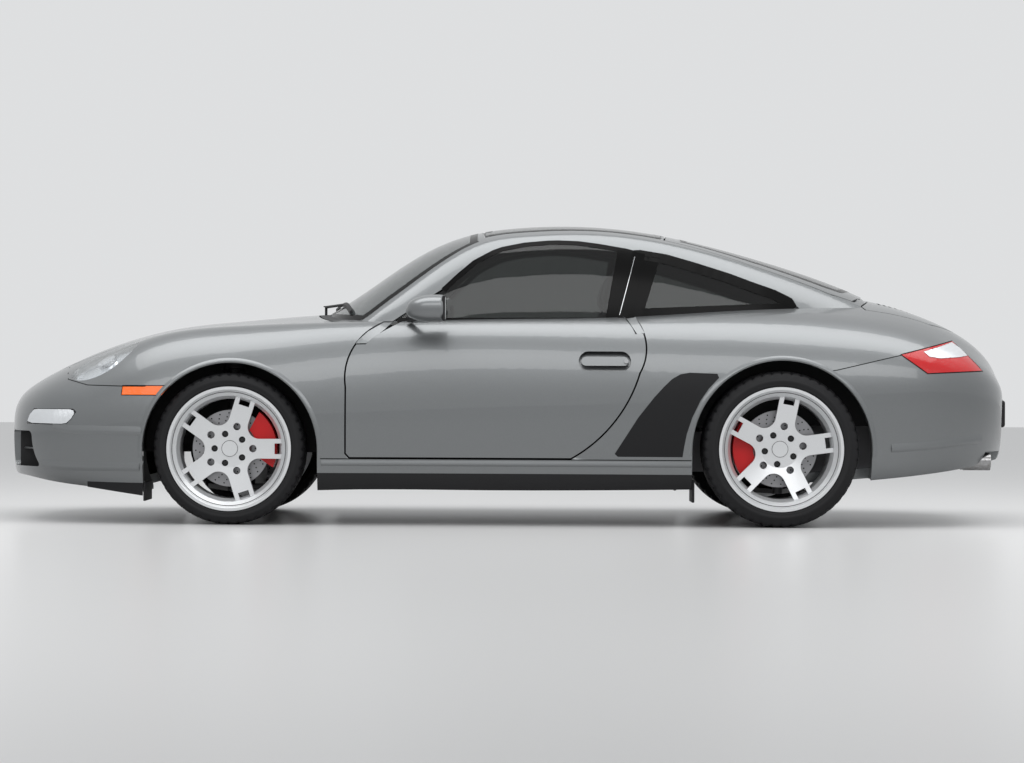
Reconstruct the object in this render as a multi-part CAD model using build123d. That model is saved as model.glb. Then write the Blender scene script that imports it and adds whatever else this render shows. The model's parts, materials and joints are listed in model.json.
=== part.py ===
from build123d import *
from functools import cache
import math
import os

# A two-door sports car with a lift-out glass roof and an opening rear window.
# +X points to the nose, +Y to the car's left, +Z up. The origin lies on the floor under the middle of the
# car. All lengths are millimetres. Names that end in shares hold places as shares of the length, half the
# width or the height. A left-hand piece is modelled and mirrored for the right.

# Overall size
LENGTH = 4427.0
WIDTH = 1852.0
HEIGHT = 1310.0
HALF_WIDTH = WIDTH / 2

# Axles and wheels
WHEELBASE = 2350.0
FRONT_OVERHANG = 1023.5
FRONT_TRACK = 1488.0
REAR_TRACK = 1530.0
FRONT_TYRE_RADIUS = 323.5
REAR_TYRE_RADIUS = 332.8
FRONT_TYRE_WIDTH = 235.0
REAR_TYRE_WIDTH = 295.0
RIM_RADIUS = 265.0
BEAD_RADIUS = 241.0
BARREL_RADIUS = 222.0
BARREL_WALL = 9.0
RIM_LIP = 6.0
RIM_SEAT = 14.0
RIM_NARROWER = 8.0
RIM_SLOPE_SHARE = 0.22
RIM_WELL_SHARE = 0.40
RIM_BACK_SHARE = 0.14
RIM_INNER_SLOPE_SHARE = 0.24
RIM_INNER_LIP_SHARE = 0.12
TYRE_SHOULDER_SHARE = 0.955
TYRE_SHOULDER_WIDTH_SHARE = 0.95
TYRE_TREAD_SHARE = 0.40
TYRE_BULGE_SHARE = 0.45
CROWN_DROP = 1.2
FRONT_FACE_Y = 80.0
REAR_FACE_Y = 100.0
FRONT_WHEEL_TURN = 180.0
REAR_WHEEL_TURN = 188.0
HUB_RADIUS = 80.0
HUB_THICKNESS = 34.0
HUB_BORE_RADIUS = 32.0
SPOKE_THICKNESS = 30.0
SPOKE_COUNT = 5
CAP_RADIUS = 33.0
CAP_HEIGHT = 5.0
BOLT_CIRCLE_RADIUS = 65.0
BOLT_POCKET_RADIUS = 14.0
BOLT_POCKET_DEPTH = 14.0
SPOKE_EYE_CENTRE = 99.0
SPOKE_EYE_RADIUS = 16.0
SPOKE_SLOT_CENTRE = 207.0
SPOKE_SLOT_DEPTH = 29.0
SPOKE_SLOT_WIDTH = 46.0
WINDOW_INNER_RADIUS = 106.0
WINDOW_NECK_RADIUS = 132.0
WINDOW_OUTER_RADIUS = 234.0
WINDOW_NECK_ANGLE = 17.5
WINDOW_OUTER_ANGLE = 25.5

# Brakes, hubs and suspension
DISC_RADIUS = 165.0
DISC_THICKNESS = 32.0
DISC_HAT_RADIUS = 88.0
DISC_CENTRE_INSET = -22.0
CALLIPER_INNER_RADIUS = 112.0
CALLIPER_OUTER_RADIUS = 198.0
CALLIPER_HALF_ANGLE = 38.0
CALLIPER_TAPER_SHARE = 0.8
CALLIPER_WALL = 24.0
CALLIPER_GAP = 4.0
FRONT_CALLIPER_ANGLE = 194.0
REAR_CALLIPER_ANGLE = 0.0
STUB_RADIUS = 31.92
STUB_END = 52.7
CARRIER_RADIUS = 58.0
CARRIER_BACK = -100.0
CARRIER_FRONT = 13.0
KINGPIN_LOW_INSET = 68.0
KINGPIN_LOW_Z = 165.0
KINGPIN_TOP_Y = 575.0
KINGPIN_TOP_Z = 690.0
KINGPIN_RADIUS = 20.0
STRUT_RADIUS = 24.0
TOWER_RADIUS = 55.0
TOWER_HEIGHT = 60.0
BRACKET_THICKNESS = 20.0
BRACKET_HEIGHT = 80.0
BRACKET_REACH = 172.0
SPRING_SEAT_RADIUS = 48.0
SPRING_SEAT_THICKNESS = 30.0
ARM_TOP_Z = 158.0
ARM_THICKNESS = 20.0
ARM_TIP_RADIUS = 22.0
ARM_ROOT_HALF_WIDTH = 140.0
SUBFRAME_HALF_WIDTH = 330.0
SUBFRAME_HALF_LENGTH = 70.0
SUBFRAME_RAIL = 60.0
SUBFRAME_HEIGHT = 80.0
SUBFRAME_LOW_Z = 135.0
SHAFT_RADIUS = 16.0

# Wheel arches: the lip in the skin and the roomier house behind it
FRONT_ARCH_RADIUS = 372.0
REAR_ARCH_RADIUS = 383.0
ARCH_SETBACK = 5.0
HOUSE_ROOM = 34.0
LIP_DEPTH = 70.0
FRONT_HOUSE_Y = 440.0
REAR_HOUSE_Y = 575.0
HOUSE_WALL = 10.0

# Panels, gaps and clearances
PANEL = 42.0
LID_THICKNESS = 24.0
LID_FLANGE = 8.0
LID_HEM = 14.0
SHUT_GAP = 7.0
SWING_GAP = 5.0
LEDGE = 34.0
FIT = 0.3
GLASS = 6.0
ROOF_WALL = 55.0
OVERRUN = 400.0

# Cabin and floor
DOOR_INNER_Y = 690.0
DOOR_STEP_Y = 815.0
DOOR_TAPER = 32.0
SIDE_INNER_Y = 640.0
FENDER_INNER_Y = 438.0
GLASS_INNER_Y = 378.0
HOOD_LOW_SHARE = 0.36
DECK_LOW_SHARE = 0.50
ROOF_LOW_SHARE = 0.55
BELT_SHARE = 0.64
FLOOR_Z = 168.0
FLOOR_THICKNESS = 24.0
COWL_X = 790.0
BULKHEAD = 30.0
REAR_WALL_X = -1010.0
SHELF_Z = 800.0
JACK_PAD_XS = (-560.0, 640.0)
JACK_PAD_Y = 600.0
JACK_PAD_RADIUS = 28.0
JACK_PAD_HEIGHT = 12.0
TUNNEL_HALF_WIDTH = 130.0
TUNNEL_HEIGHT = 210.0
TUB_FRONT_X = 1905.0
TUB_HALF_WIDTH = 400.0
TUB_FLOOR_Z = 300.0
TUB_WALL = 8.0
SIDE_REAR_X = -765.0
SIDE_FRONT_X = 782.0
FRONT_WALL_Z = 330.0
REAR_WALL_Z = 430.0
REAR_PAN_X = -640.0
REAR_PAN_Z = 440.0
SHELF_REAR_X = -1540.0
TUNNEL_WALL = 12.0
COWL_HALF_WIDTH = 593.0
COWL_REAR_SHARE = 0.1000
COWL_FRONT_SHARE = 0.2030

# Body sections: share of length, then bottom, waist, crest and centre places, and the crest's outward slope
BODY_SHARES = (
    # x, z_bottom, y_bottom, y_waist, z_waist, y_crest, z_crest, slope, z_centre
    (0.5000, 0.252, 0.108, 0.178, 0.305, 0.119, 0.353, -0.35, 0.362),
    (0.4951, 0.166, 0.259, 0.335, 0.299, 0.232, 0.382, -0.30, 0.391),
    (0.4789, 0.150, 0.475, 0.605, 0.298, 0.432, 0.426, -0.28, 0.443),
    (0.4495, 0.135, 0.648, 0.780, 0.299, 0.551, 0.475, -0.28, 0.500),
    (0.4066, 0.119, 0.783, 0.877, 0.315, 0.621, 0.534, -0.28, 0.569),
    (0.3524, 0.105, 0.869, 0.946, 0.336, 0.661, 0.608, -0.05, 0.634),
    (0.2688, 0.103, 0.907, 0.975, 0.351, 0.686, 0.649, 0.00, 0.673),
    (0.1581, 0.115, 0.886, 0.944, 0.366, 0.745, 0.663, -0.10, 0.699),
    (0.0226, 0.115, 0.880, 0.935, 0.386, 0.786, 0.669, -0.35, 0.676),
    (-0.1129, 0.118, 0.896, 0.959, 0.401, 0.775, 0.679, -0.32, 0.689),
    (-0.2372, 0.128, 0.918, 1.000, 0.420, 0.740, 0.700, -0.28, 0.714),
    (-0.3388, 0.151, 0.902, 0.978, 0.434, 0.680, 0.693, -0.30, 0.763),
    (-0.4179, 0.179, 0.810, 0.899, 0.443, 0.637, 0.640, -0.38, 0.692),
    (-0.4631, 0.202, 0.637, 0.751, 0.435, 0.518, 0.571, -0.42, 0.602),
    (-0.4879, 0.223, 0.400, 0.518, 0.421, 0.324, 0.496, -0.40, 0.507),
    (-0.5000, 0.321, 0.119, 0.194, 0.397, 0.130, 0.432, -0.30, 0.440),
)
# Cabin sections: base, rail and centre places, and the rail's outward slope
CABIN_SHARES = (
    # x, y_base, z_base, y_rail, z_rail, slope, z_centre
    (0.2033, 0.786, 0.430, 0.648, 0.527, -0.70, 0.646),
    (0.1785, 0.783, 0.460, 0.691, 0.574, -0.70, 0.702),
    (0.1360, 0.780, 0.540, 0.730, 0.672, -0.68, 0.795),
    (0.1028, 0.777, 0.610, 0.691, 0.761, -0.64, 0.873),
    (0.0605, 0.773, 0.610, 0.639, 0.869, -0.50, 0.947),
    (0.0294, 0.772, 0.610, 0.613, 0.926, -0.35, 0.977),
    (-0.0113, 0.771, 0.610, 0.600, 0.954, -0.28, 0.995),
    (-0.0678, 0.769, 0.610, 0.594, 0.963, -0.26, 1.000),
    (-0.1355, 0.756, 0.610, 0.583, 0.945, -0.25, 0.980),
    (-0.2033, 0.726, 0.610, 0.562, 0.895, -0.28, 0.933),
    (-0.2711, 0.675, 0.610, 0.529, 0.826, -0.33, 0.870),
    (-0.3388, 0.605, 0.600, 0.486, 0.744, -0.38, 0.791),
    (-0.3795, 0.562, 0.570, 0.454, 0.679, -0.40, 0.725),
)

# Outlines: share of length, share of height or half width, and "corner" or "via" for an arc's middle
DOOR_SHARES = (
    (0.0950, 0.710, "corner"),
    (0.1270, 0.650, "corner"),
    (0.1495, 0.575, "via"),
    (0.1560, 0.450, "corner"),
    (0.1560, 0.235, "corner"),
    (0.1525, 0.222, "corner"),
    (-0.0600, 0.222, "corner"),
    (-0.0985, 0.330, "via"),
    (-0.1255, 0.500, "corner"),
    (-0.1315, 0.600, "via"),
    (-0.1120, 0.710, "corner"),
)
DOOR_GLASS_SHARES = (
    (0.1400, 0.600, "corner"),
    (0.0640, 0.770, "corner"),
    (0.0400, 0.848, "via"),
    (0.0108, 0.905, "corner"),
    (-0.0431, 0.932, "via"),
    (-0.0881, 0.920, "corner"),
    (-0.1200, 0.902, "corner"),
    (-0.1030, 0.640, "corner"),
    (-0.1030, 0.600, "corner"),
)
QUARTER_GLASS_SHARES = (
    (-0.1090, 0.600, "corner"),
    (-0.1090, 0.640, "corner"),
    (-0.1255, 0.896, "corner"),
    (-0.1800, 0.858, "via"),
    (-0.2600, 0.764, "corner"),
    (-0.2840, 0.722, "corner"),
    (-0.2870, 0.700, "corner"),
    (-0.2870, 0.600, "corner"),
)
HOOD_SHARES = (
    (0.1920, 0.0, "corner"),
    (0.1890, 0.350, "via"),
    (0.1730, 0.664, "corner"),
    (0.1930, 0.664, "corner"),
    (0.2711, 0.618, "corner"),
    (0.3614, 0.556, "corner"),
    (0.4247, 0.475, "corner"),
    (0.4480, 0.360, "via"),
    (0.4600, 0.200, "corner"),
    (0.4640, 0.100, "via"),
    (0.4655, 0.0, "corner"),
)
WINDSCREEN_SHARES = (
    (0.0330, 0.0, "corner"),
    (0.0325, 0.300, "via"),
    (0.0300, 0.570, "corner"),
    (0.0605, 0.612, "corner"),
    (0.1028, 0.664, "corner"),
    (0.1360, 0.700, "corner"),
    (0.1640, 0.700, "corner"),
    (0.1860, 0.360, "via"),
    (0.1920, 0.0, "corner"),
)
ROOF_PANEL_SHARES = (
    (0.0250, 0.0, "corner"),
    (0.0245, 0.270, "via"),
    (0.0225, 0.520, "corner"),
    (-0.1480, 0.505, "corner"),
    (-0.1520, 0.250, "via"),
    (-0.1530, 0.0, "corner"),
)
HATCH_SHARES = (
    (-0.1585, 0.0, "corner"),
    (-0.1575, 0.250, "via"),
    (-0.1540, 0.515, "corner"),
    (-0.2330, 0.535, "corner"),
    (-0.3170, 0.510, "corner"),
    (-0.3400, 0.470, "corner"),
    (-0.3540, 0.240, "via"),
    (-0.3570, 0.0, "corner"),
)
HATCH_GLASS_INSET = 62.0
VENT_REAR_X = -1795.0
VENT_COUNT = 7
VENT_PITCH = 24.0
VENT_WIDTH = 12.0
VENT_HALF_WIDTH = 300.0
ENGINE_LID_SHARES = (
    (-0.3650, 0.0, "corner"),
    (-0.3620, 0.240, "via"),
    (-0.3500, 0.480, "corner"),
    (-0.3530, 0.540, "corner"),
    (-0.4150, 0.530, "corner"),
    (-0.4400, 0.420, "corner"),
    (-0.4500, 0.210, "via"),
    (-0.4530, 0.0, "corner"),
)
FRONT_BUMPER_SHARES = (
    (0.2500, 0.050, "corner"),
    (0.2500, 0.449, "corner"),
    (0.3720, 0.449, "corner"),
    (0.4080, 0.452, "corner"),
    (0.4300, 0.470, "corner"),
    (0.4400, 0.800, "corner"),
    (0.5300, 0.800, "corner"),
    (0.5300, 0.050, "corner"),
)
REAR_BUMPER_SHARES = (
    (-0.2800, 0.050, "corner"),
    (-0.2800, 0.497, "corner"),
    (-0.3160, 0.513, "corner"),
    (-0.3790, 0.563, "corner"),
    (-0.4300, 0.640, "corner"),
    (-0.4560, 0.800, "corner"),
    (-0.5300, 0.800, "corner"),
    (-0.5300, 0.050, "corner"),
)
MARKER_SHARES = (
    (0.3718, 0.451, "corner"),
    (0.3250, 0.451, "corner"),
    (0.3250, 0.420, "corner"),
    (0.3727, 0.420, "corner"),
)
FRONT_LAMP_SHARES = (
    (0.4720, 0.323, "corner"),
    (0.4640, 0.374, "corner"),
    (0.4211, 0.374, "corner"),
    (0.4177, 0.364, "corner"),
    (0.4278, 0.321, "corner"),
)
TAIL_LAMP_SHARES = (
    (-0.3775, 0.564, "corner"),
    (-0.4351, 0.612, "corner"),
    (-0.4633, 0.512, "corner"),
    (-0.4034, 0.502, "corner"),
)
LAMP_DEPTH = 26.0
MARKER_DEPTH = 14.0
HEADLAMP_CENTRE_SHARES = (0.3935, 0.700, 0.535)
HEADLAMP_AXIS = Vector(0.60, 0.17, 0.78)
HEADLAMP_LONG = 324.0
HEADLAMP_WIDE = 226.0
HEADLAMP_LENS = 5.0
PROJECTOR_RADIUS = 42.0

# Bumper openings: x, y, z centre, then width and height
INTAKE_SHARES = (
    # x_face, y_centre, z_centre, width share of half width, height share
    (0.4340, 0.555, 0.241, 0.300, 0.118),
    (0.4550, 0.000, 0.207, 0.560, 0.075),
    (0.4340, -0.555, 0.241, 0.300, 0.118),
)
INTAKE_CORNER = 22.0
GRILLE_THICKNESS = 10.0
GRILLE_BAR = 7.0
GRILLE_BAR_DEPTH = 34.0
GRILLE_BAR_PITCH = 39.0

# Rocker: the bright strip and the black skirt under it
HEEL_FRONT_SHARE = -0.0500
HEEL_TOP_SHARE = 0.4600
ROCKER_TOP_SHARE = 0.2165
ROCKER_LOW_SHARE = 0.1700
ROCKER_FRONT_SHARE = 0.1842
ROCKER_REAR_SHARE = -0.1807

# Seats, dashboard and wheel
SEAT_Y = 378.0
SEAT_X = -60.0
SEAT_WIDTH = 480.0
SEAT_LENGTH = 500.0
SEAT_TOP_Z = 430.0
SEAT_THICKNESS = 130.0
SEAT_BACK_HEIGHT = 590.0
SEAT_BACK_THICKNESS = 120.0
SEAT_BACK_ANGLE = 20.0
SEAT_ROUND = 45.0
HEADREST_WIDTH = 270.0
HEADREST_HEIGHT = 190.0
REAR_SEAT_WIDTH = 430.0
REAR_SEAT_X = -700.0
REAR_SEAT_LENGTH = 309.7
REAR_SEAT_HEIGHT = 130.0
REAR_BACK_HEIGHT = 300.0
REAR_BACK_THICKNESS = 70.0
DASH_X = 600.0
DASH_DEPTH = 300.0
DASH_TOP_Z = 822.0
DASH_HEIGHT = 260.0
DASH_HALF_WIDTH = 620.0
HELM_RADIUS = 185.0
HELM_TUBE = 15.0
HELM_X = 395.0
HELM_Z = 760.0
HELM_TILT = 24.0
HELM_BOSS_RADIUS = 55.0
HELM_BOSS_DEPTH = 40.0
HELM_SPOKE = 34.0
COLUMN_RADIUS = 28.0
COLUMN_LENGTH = 190.0

# Power unit and exhaust
ENGINE_FRONT_X = -1255.0
ENGINE_LENGTH = 560.0
ENGINE_HALF_WIDTH = 400.0
ENGINE_LOW_Z = 215.0
ENGINE_HEIGHT = 440.0
GEARBOX_LENGTH = 560.0
GEARBOX_WIDTH = 240.0
GEARBOX_HEIGHT = 180.0
SILENCER_RADIUS = 80.0
SILENCER_LENGTH = 250.0
SILENCER_X = -1850.0
SILENCER_Y = 430.0
SILENCER_Z = 400.0
TIP_RADIUS = 38.0
TIP_WALL = 3.0
TIP_Z = 278.0
TIP_PITCH = 92.0
TIP_LENGTH = 90.0
TIP_REAR_X = -2095.0
TIP_BEND_X = -1960.0
TIP_NOTCH_X = -1850.0
TIP_NOTCH_Z = 322.0
TIP_NOTCH = 98.0
SILENCER_PIPE_SHARE = 0.9

# Mirrors and wipers
MIRROR_X = 350.0
MIRROR_Y = 905.0
MIRROR_Z = 925.0
MIRROR_LENGTH = 150.0
MIRROR_WIDTH = 195.0
MIRROR_HEIGHT = 118.0
MIRROR_ROUND_SHARE = 0.42
MIRROR_TIP_WIDTH_SHARE = 0.62
MIRROR_TIP_HEIGHT_SHARE = 0.55
MIRROR_TIP_ROUND_SHARE = 0.26
MIRROR_FOOT_RADIUS = 15.0
MIRROR_FOOT_Y = 742.0
MIRROR_FOOT_Z = 868.0
HANDLE_X = -410.0
HANDLE_Y = 700.0
HANDLE_Z = 704.0
HANDLE_LENGTH = 222.0
HANDLE_HEIGHT = 84.0
HANDLE_GRIP = 38.0
HANDLE_DEPTH = 30.0
HANDLE_PROUD = 10.0
HANDLE_MARGIN = 11.0
WIPER_RADIUS = 6.0
WIPER_PIVOTS = ((828.0, 20.0), (796.0, -430.0))
WIPER_BLADES = (((772.0, 40.0), (690.0, 520.0)), ((772.0, -440.0), (778.0, 10.0)))
WIPER_CLEAR = 5.0
WIPER_PIVOT_Z = 948.0
WIPER_PIVOT_LOW_Z = 880.0
WIPER_HEIGHT = 12.0

# Places worked out from the sizes above
NOSE_X = LENGTH / 2
FRONT_HUB_X = NOSE_X - FRONT_OVERHANG
REAR_HUB_X = FRONT_HUB_X - WHEELBASE
FRONT_HUB = Vector(FRONT_HUB_X, FRONT_TRACK / 2, FRONT_TYRE_RADIUS)
REAR_HUB = Vector(REAR_HUB_X, REAR_TRACK / 2, REAR_TYRE_RADIUS)


def write(name, piece):
    """Writes one node as a STEP file."""
    solids = piece.solids() if not isinstance(piece, list) else [s for p in piece for s in p.solids()]
    export_step(Compound(children=solids), f"parts/{name}.step")


def solids_of(piece):
    """Every solid in a piece that may be one solid or several."""
    return list(piece.solids())


def biggest(piece):
    """The largest solid of a cut, without its crumbs."""
    return max(piece.solids(), key=lambda s: s.volume)


def mirrored(piece):
    """The right-hand copy of a left-hand piece."""
    return mirror(piece, about=Plane.XZ)


def both(piece):
    """A left-hand piece and its right-hand copy, as a list of solids."""
    return solids_of(piece) + solids_of(mirrored(piece))


def box(x0, x1, y0, y1, z0, z1):
    """A box between two corners."""
    middle = Vector((x0 + x1) / 2, (y0 + y1) / 2, (z0 + z1) / 2)
    return Pos(middle) * Box(abs(x1 - x0), abs(y1 - y0), abs(z1 - z0))


def rod(start, end, radius):
    """A round bar between two points."""
    line = Vector(end) - Vector(start)
    return Plane(origin=start, z_dir=line) * extrude(Circle(radius), line.length)


def path_face(points):
    """A flat face with straight and arc sides from points marked corner or via."""
    edges = []
    count = len(points)
    for i, (point, kind) in enumerate(points):
        if kind == "via":
            continue
        after, after_kind = points[(i + 1) % count]
        if after_kind == "via":
            edges.append(Edge.make_three_point_arc(point, after, points[(i + 2) % count][0]))
        else:
            edges.append(Edge.make_line(point, after))
    return Face(Wire(edges))


def side_face(shares):
    """A side-view outline as a face in the middle plane."""
    return path_face([(Vector(x * LENGTH, 0, z * HEIGHT), kind) for x, z, kind in shares])


def plan_face(shares):
    """A plan-view outline, given for the left half, as a face on the floor."""
    half = [(Vector(x * LENGTH, y * HALF_WIDTH, 0), kind) for x, y, kind in shares]
    other = [(Vector(p.X, -p.Y, 0), kind) for p, kind in reversed(half[1:-1])]
    return path_face(half + other)


def grown(face, amount):
    """A flat outline moved outward, or inward for a negative amount."""
    return offset(face, amount, kind=Kind.INTERSECTION) if amount else face


def side_prism(face, y_low, y_high):
    """A side outline pushed from one y to another."""
    return extrude(Pos(0, y_low, 0) * face, y_high - y_low, dir=(0, 1, 0))


def plan_prism(face, z_low=0.0, z_high=HEIGHT + OVERRUN):
    """A plan outline pushed from one z to another."""
    return extrude(Pos(0, 0, z_low) * face, z_high - z_low, dir=(0, 0, 1))


@cache
def body_loft(inset):
    """The lower body, or its inner skin a given depth under the outer one."""
    shrink = 1 - inset / (LENGTH / 2)
    wires = []
    for x, zb, yb, yw, zw, yc, zc, slope, zt in BODY_SHARES:
        place = x * LENGTH * shrink
        yb, yw, yc = yb * HALF_WIDTH - inset, yw * HALF_WIDTH - inset, yc * HALF_WIDTH - inset / 2
        zb, zw, zc, zt = zb * HEIGHT + inset, zw * HEIGHT, zc * HEIGHT - inset, zt * HEIGHT - inset
        wires.append(body_section(place, zb, yb, yw, zw, yc, zc, slope, zt))
    return Solid.make_loft(wires, False)


def body_section(x, zb, yb, yw, zw, yc, zc, slope, zt):
    """One cross-section of the lower body: flat bottom, flank, shoulder and top."""
    low_pull, low_rise, waist_pull = 0.55, 0.10, 0.45
    shoulder_rise, shoulder_pull = 0.62, 0.55
    crown_near, crown_far = 0.66, 0.40

    def half(side):
        def at(y, z):
            return Vector(x, side * y, z)

        low = Bezier(
            at(yb, zb),
            at(yb + low_pull * (yw - yb), zb + low_rise * (zw - zb)),
            at(yw, zb + waist_pull * (zw - zb)),
            at(yw, zw),
        )
        pull = shoulder_pull * (yw - yc)
        high = Bezier(
            at(yw, zw), at(yw, zw + shoulder_rise * (zc - zw)), at(yc + pull, zc + slope * pull), at(yc, zc)
        )
        fall = yc * (1 - crown_near)
        crown = Bezier(at(yc, zc), at(yc * crown_near, zc - slope * fall), at(yc * crown_far, zt), at(0, zt))
        return low, high, crown

    left, right = half(1), half(-1)
    bottom = Line(Vector(x, -yb, zb), Vector(x, yb, zb))
    return Wire([bottom, left[0], left[1], left[2], right[2], right[1], right[0]])


@cache
def cabin_loft(inset):
    """The glasshouse, or its inner skin a given depth under the outer one."""
    rail_in, rail_down = 0.6, 0.8
    side_rise, side_lean, rail_reach = 0.6, 0.10, 0.30
    crown_near, crown_far = 0.66, 0.40
    wires = []
    for x, yb, zb, yr, zr, slope, zt in CABIN_SHARES:
        x *= LENGTH
        yb, yr = yb * HALF_WIDTH - inset, yr * HALF_WIDTH - inset * rail_in
        zb, zr, zt = zb * HEIGHT - inset, zr * HEIGHT - inset * rail_down, zt * HEIGHT - inset
        reach = rail_reach * (yb - yr)

        def half(side):
            def at(y, z):
                return Vector(x, side * y, z)

            flank = Bezier(
                at(yb, zb),
                at(yb - side_lean * (yb - yr), zb + side_rise * (zr - zb)),
                at(yr + reach, zr + slope * reach),
                at(yr, zr),
            )
            rise = yr * (1 - crown_near)
            near, far = at(yr * crown_near, zr - slope * rise), at(yr * crown_far, zt)
            crown = Bezier(at(yr, zr), near, far, at(0, zt))
            return flank, crown

        left, right = half(1), half(-1)
        base = Line(Vector(x, -yb, zb), Vector(x, yb, zb))
        wires.append(Wire([base, left[0], left[1], right[1], right[0]]))
    return Solid.make_loft(wires, False)


def wheel_house(hub, radius, inner_y):
    """The space that a wheel turns in: the lip's circle through the skin, and more room behind the lip."""
    centre = Vector(hub.X - ARCH_SETBACK, 0, hub.Z - ARCH_SETBACK)
    lip_y = HALF_WIDTH - LIP_DEPTH - PANEL
    outer = Plane(origin=centre + Vector(0, inner_y, 0), z_dir=(0, 1, 0))
    opening = outer * extrude(Circle(radius), HALF_WIDTH - inner_y + OVERRUN)
    room = outer * extrude(Circle(radius + HOUSE_ROOM), lip_y - inner_y)
    below = box(
        centre.X - radius, centre.X + radius, inner_y, HALF_WIDTH + OVERRUN, -OVERRUN, centre.Z
    )
    return opening + room + below


def lamp_plane():
    """The plane across the headlamp, facing out along the lamp's axis."""
    x, y, z = HEADLAMP_CENTRE_SHARES
    origin = Vector(x * LENGTH, y * HALF_WIDTH, z * HEIGHT)
    return Plane(origin=origin, x_dir=(-HEADLAMP_AXIS.Z, 0, HEADLAMP_AXIS.X), z_dir=HEADLAMP_AXIS)


def headlamp_prism(growth):
    """The oval through the skin that the headlamp fills."""
    oval = Ellipse(HEADLAMP_LONG / 2 + growth, HEADLAMP_WIDE / 2 + growth)
    return lamp_plane() * extrude(oval, OVERRUN, both=True)


def intake_prism(shares, growth, x_low):
    """One opening in the front bumper."""
    _, y, z, wide, high = shares
    size = Rectangle(wide * HALF_WIDTH + 2 * growth, high * HEIGHT + 2 * growth)
    size = fillet(size.vertices(), INTAKE_CORNER)
    plane = Plane(origin=(x_low, y * HALF_WIDTH, z * HEIGHT), x_dir=(0, 1, 0), z_dir=(1, 0, 0))
    return plane * extrude(size, NOSE_X + OVERRUN - x_low)


def rim_profile(width, face_y):
    """Half of the rim's cross-section, radius across and width up: lips, seats, well and spoke disc edge."""
    half = width / 2
    lip, seat_in = RIM_LIP, RIM_SEAT
    slope = width * RIM_SLOPE_SHARE
    inside = BARREL_RADIUS - BARREL_WALL
    outer = [
        (RIM_RADIUS, half), (RIM_RADIUS, half - lip), (BEAD_RADIUS, half - seat_in),
        (BEAD_RADIUS - lip, half - slope), (BARREL_RADIUS, half - width * RIM_WELL_SHARE),
        (BARREL_RADIUS, -half + slope), (BEAD_RADIUS - lip, -half + width * RIM_BACK_SHARE),
        (BEAD_RADIUS, -half + seat_in), (RIM_RADIUS, -half + lip), (RIM_RADIUS, -half),
        (BEAD_RADIUS - lip, -half),
    ]
    inner = [
        (inside, -half + slope), (inside, face_y - SPOKE_THICKNESS),
        (inside, half - width * RIM_INNER_SLOPE_SHARE),
        (BEAD_RADIUS - lip - BARREL_WALL, half - width * RIM_INNER_LIP_SHARE),
        (RIM_RADIUS - 2 * lip, half),
    ]
    return outer + inner


def rim(width, face_y):
    """A five-spoke rim centred on the origin with its axle along Y and its face towards +Y."""
    pts = [Vector(r, y, 0) for r, y in rim_profile(width, face_y)]
    profile = Face(Wire.make_polygon(pts, close=True))
    barrel = revolve(profile, Axis.Y, 360)
    back = face_y - SPOKE_THICKNESS
    star_radius = BARREL_RADIUS + BARREL_WALL / 2
    hub_back = DISC_CENTRE_INSET + DISC_THICKNESS / 2 + HUB_THICKNESS
    hub_front, cap_back = hub_back + HUB_THICKNESS, hub_back + HUB_THICKNESS - BARREL_WALL
    disc_pts = [
        (HUB_BORE_RADIUS, hub_back), (HUB_BORE_RADIUS, cap_back), (0, cap_back), (0, hub_front + CAP_HEIGHT),
        (CAP_RADIUS, hub_front + CAP_HEIGHT), (CAP_RADIUS, hub_front), (HUB_RADIUS, hub_front),
        (star_radius, face_y), (star_radius, back + BARREL_WALL), (HUB_RADIUS + SPOKE_THICKNESS, hub_back),
    ]
    star = revolve(Face(Wire.make_polygon([Vector(r, y, 0) for r, y in disc_pts], close=True)), Axis.Y, 360)
    turn = 360 / SPOKE_COUNT
    depth = width
    pocket_y = hub_front - BOLT_POCKET_DEPTH
    for i in range(SPOKE_COUNT):
        spoke = i * turn
        between = spoke + turn / 2
        star -= wheel_window(between, depth)
        star -= polar_cut(Rectangle(SPOKE_SLOT_DEPTH, SPOKE_SLOT_WIDTH), SPOKE_SLOT_CENTRE, spoke, depth)
        star -= polar_cut(Circle(SPOKE_EYE_RADIUS), SPOKE_EYE_CENTRE, spoke, depth)
        star -= polar_cut(Circle(BOLT_POCKET_RADIUS), BOLT_CIRCLE_RADIUS, between, depth, pocket_y)
    return barrel + star


def polar_cut(sketch, radius, angle, depth, start=None):
    """A sketch at a radius and an angle about Y, pushed outward from a start depth, or through the wheel."""
    start = -depth if start is None else start
    plane = Plane(origin=(0, start, 0), x_dir=(1, 0, 0), z_dir=(0, 1, 0))
    return Rot(0, angle, 0) * (plane * extrude(Pos(radius, 0) * sketch, depth - start))


def wheel_window(angle, depth):
    """The opening between two spokes."""
    def at(radius, degrees):
        turn = math.radians(degrees)
        return Vector(radius * math.cos(turn), radius * math.sin(turn))

    neck_a, neck_b = at(WINDOW_NECK_RADIUS, WINDOW_NECK_ANGLE), at(WINDOW_NECK_RADIUS, -WINDOW_NECK_ANGLE)
    far_a, far_b = at(WINDOW_OUTER_RADIUS, WINDOW_OUTER_ANGLE), at(WINDOW_OUTER_RADIUS, -WINDOW_OUTER_ANGLE)
    edges = [
        Edge.make_three_point_arc(neck_a, at(WINDOW_INNER_RADIUS, 0), neck_b),
        Edge.make_line(neck_b, far_b),
        Edge.make_three_point_arc(far_b, at(WINDOW_OUTER_RADIUS, 0), far_a),
        Edge.make_line(far_a, neck_a),
    ]
    face = Face(Wire(edges))
    plane = Plane(origin=(0, -depth, 0), x_dir=(1, 0, 0), z_dir=(0, 1, 0))
    return Rot(0, angle, 0) * (plane * extrude(face, 2 * depth))


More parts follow.
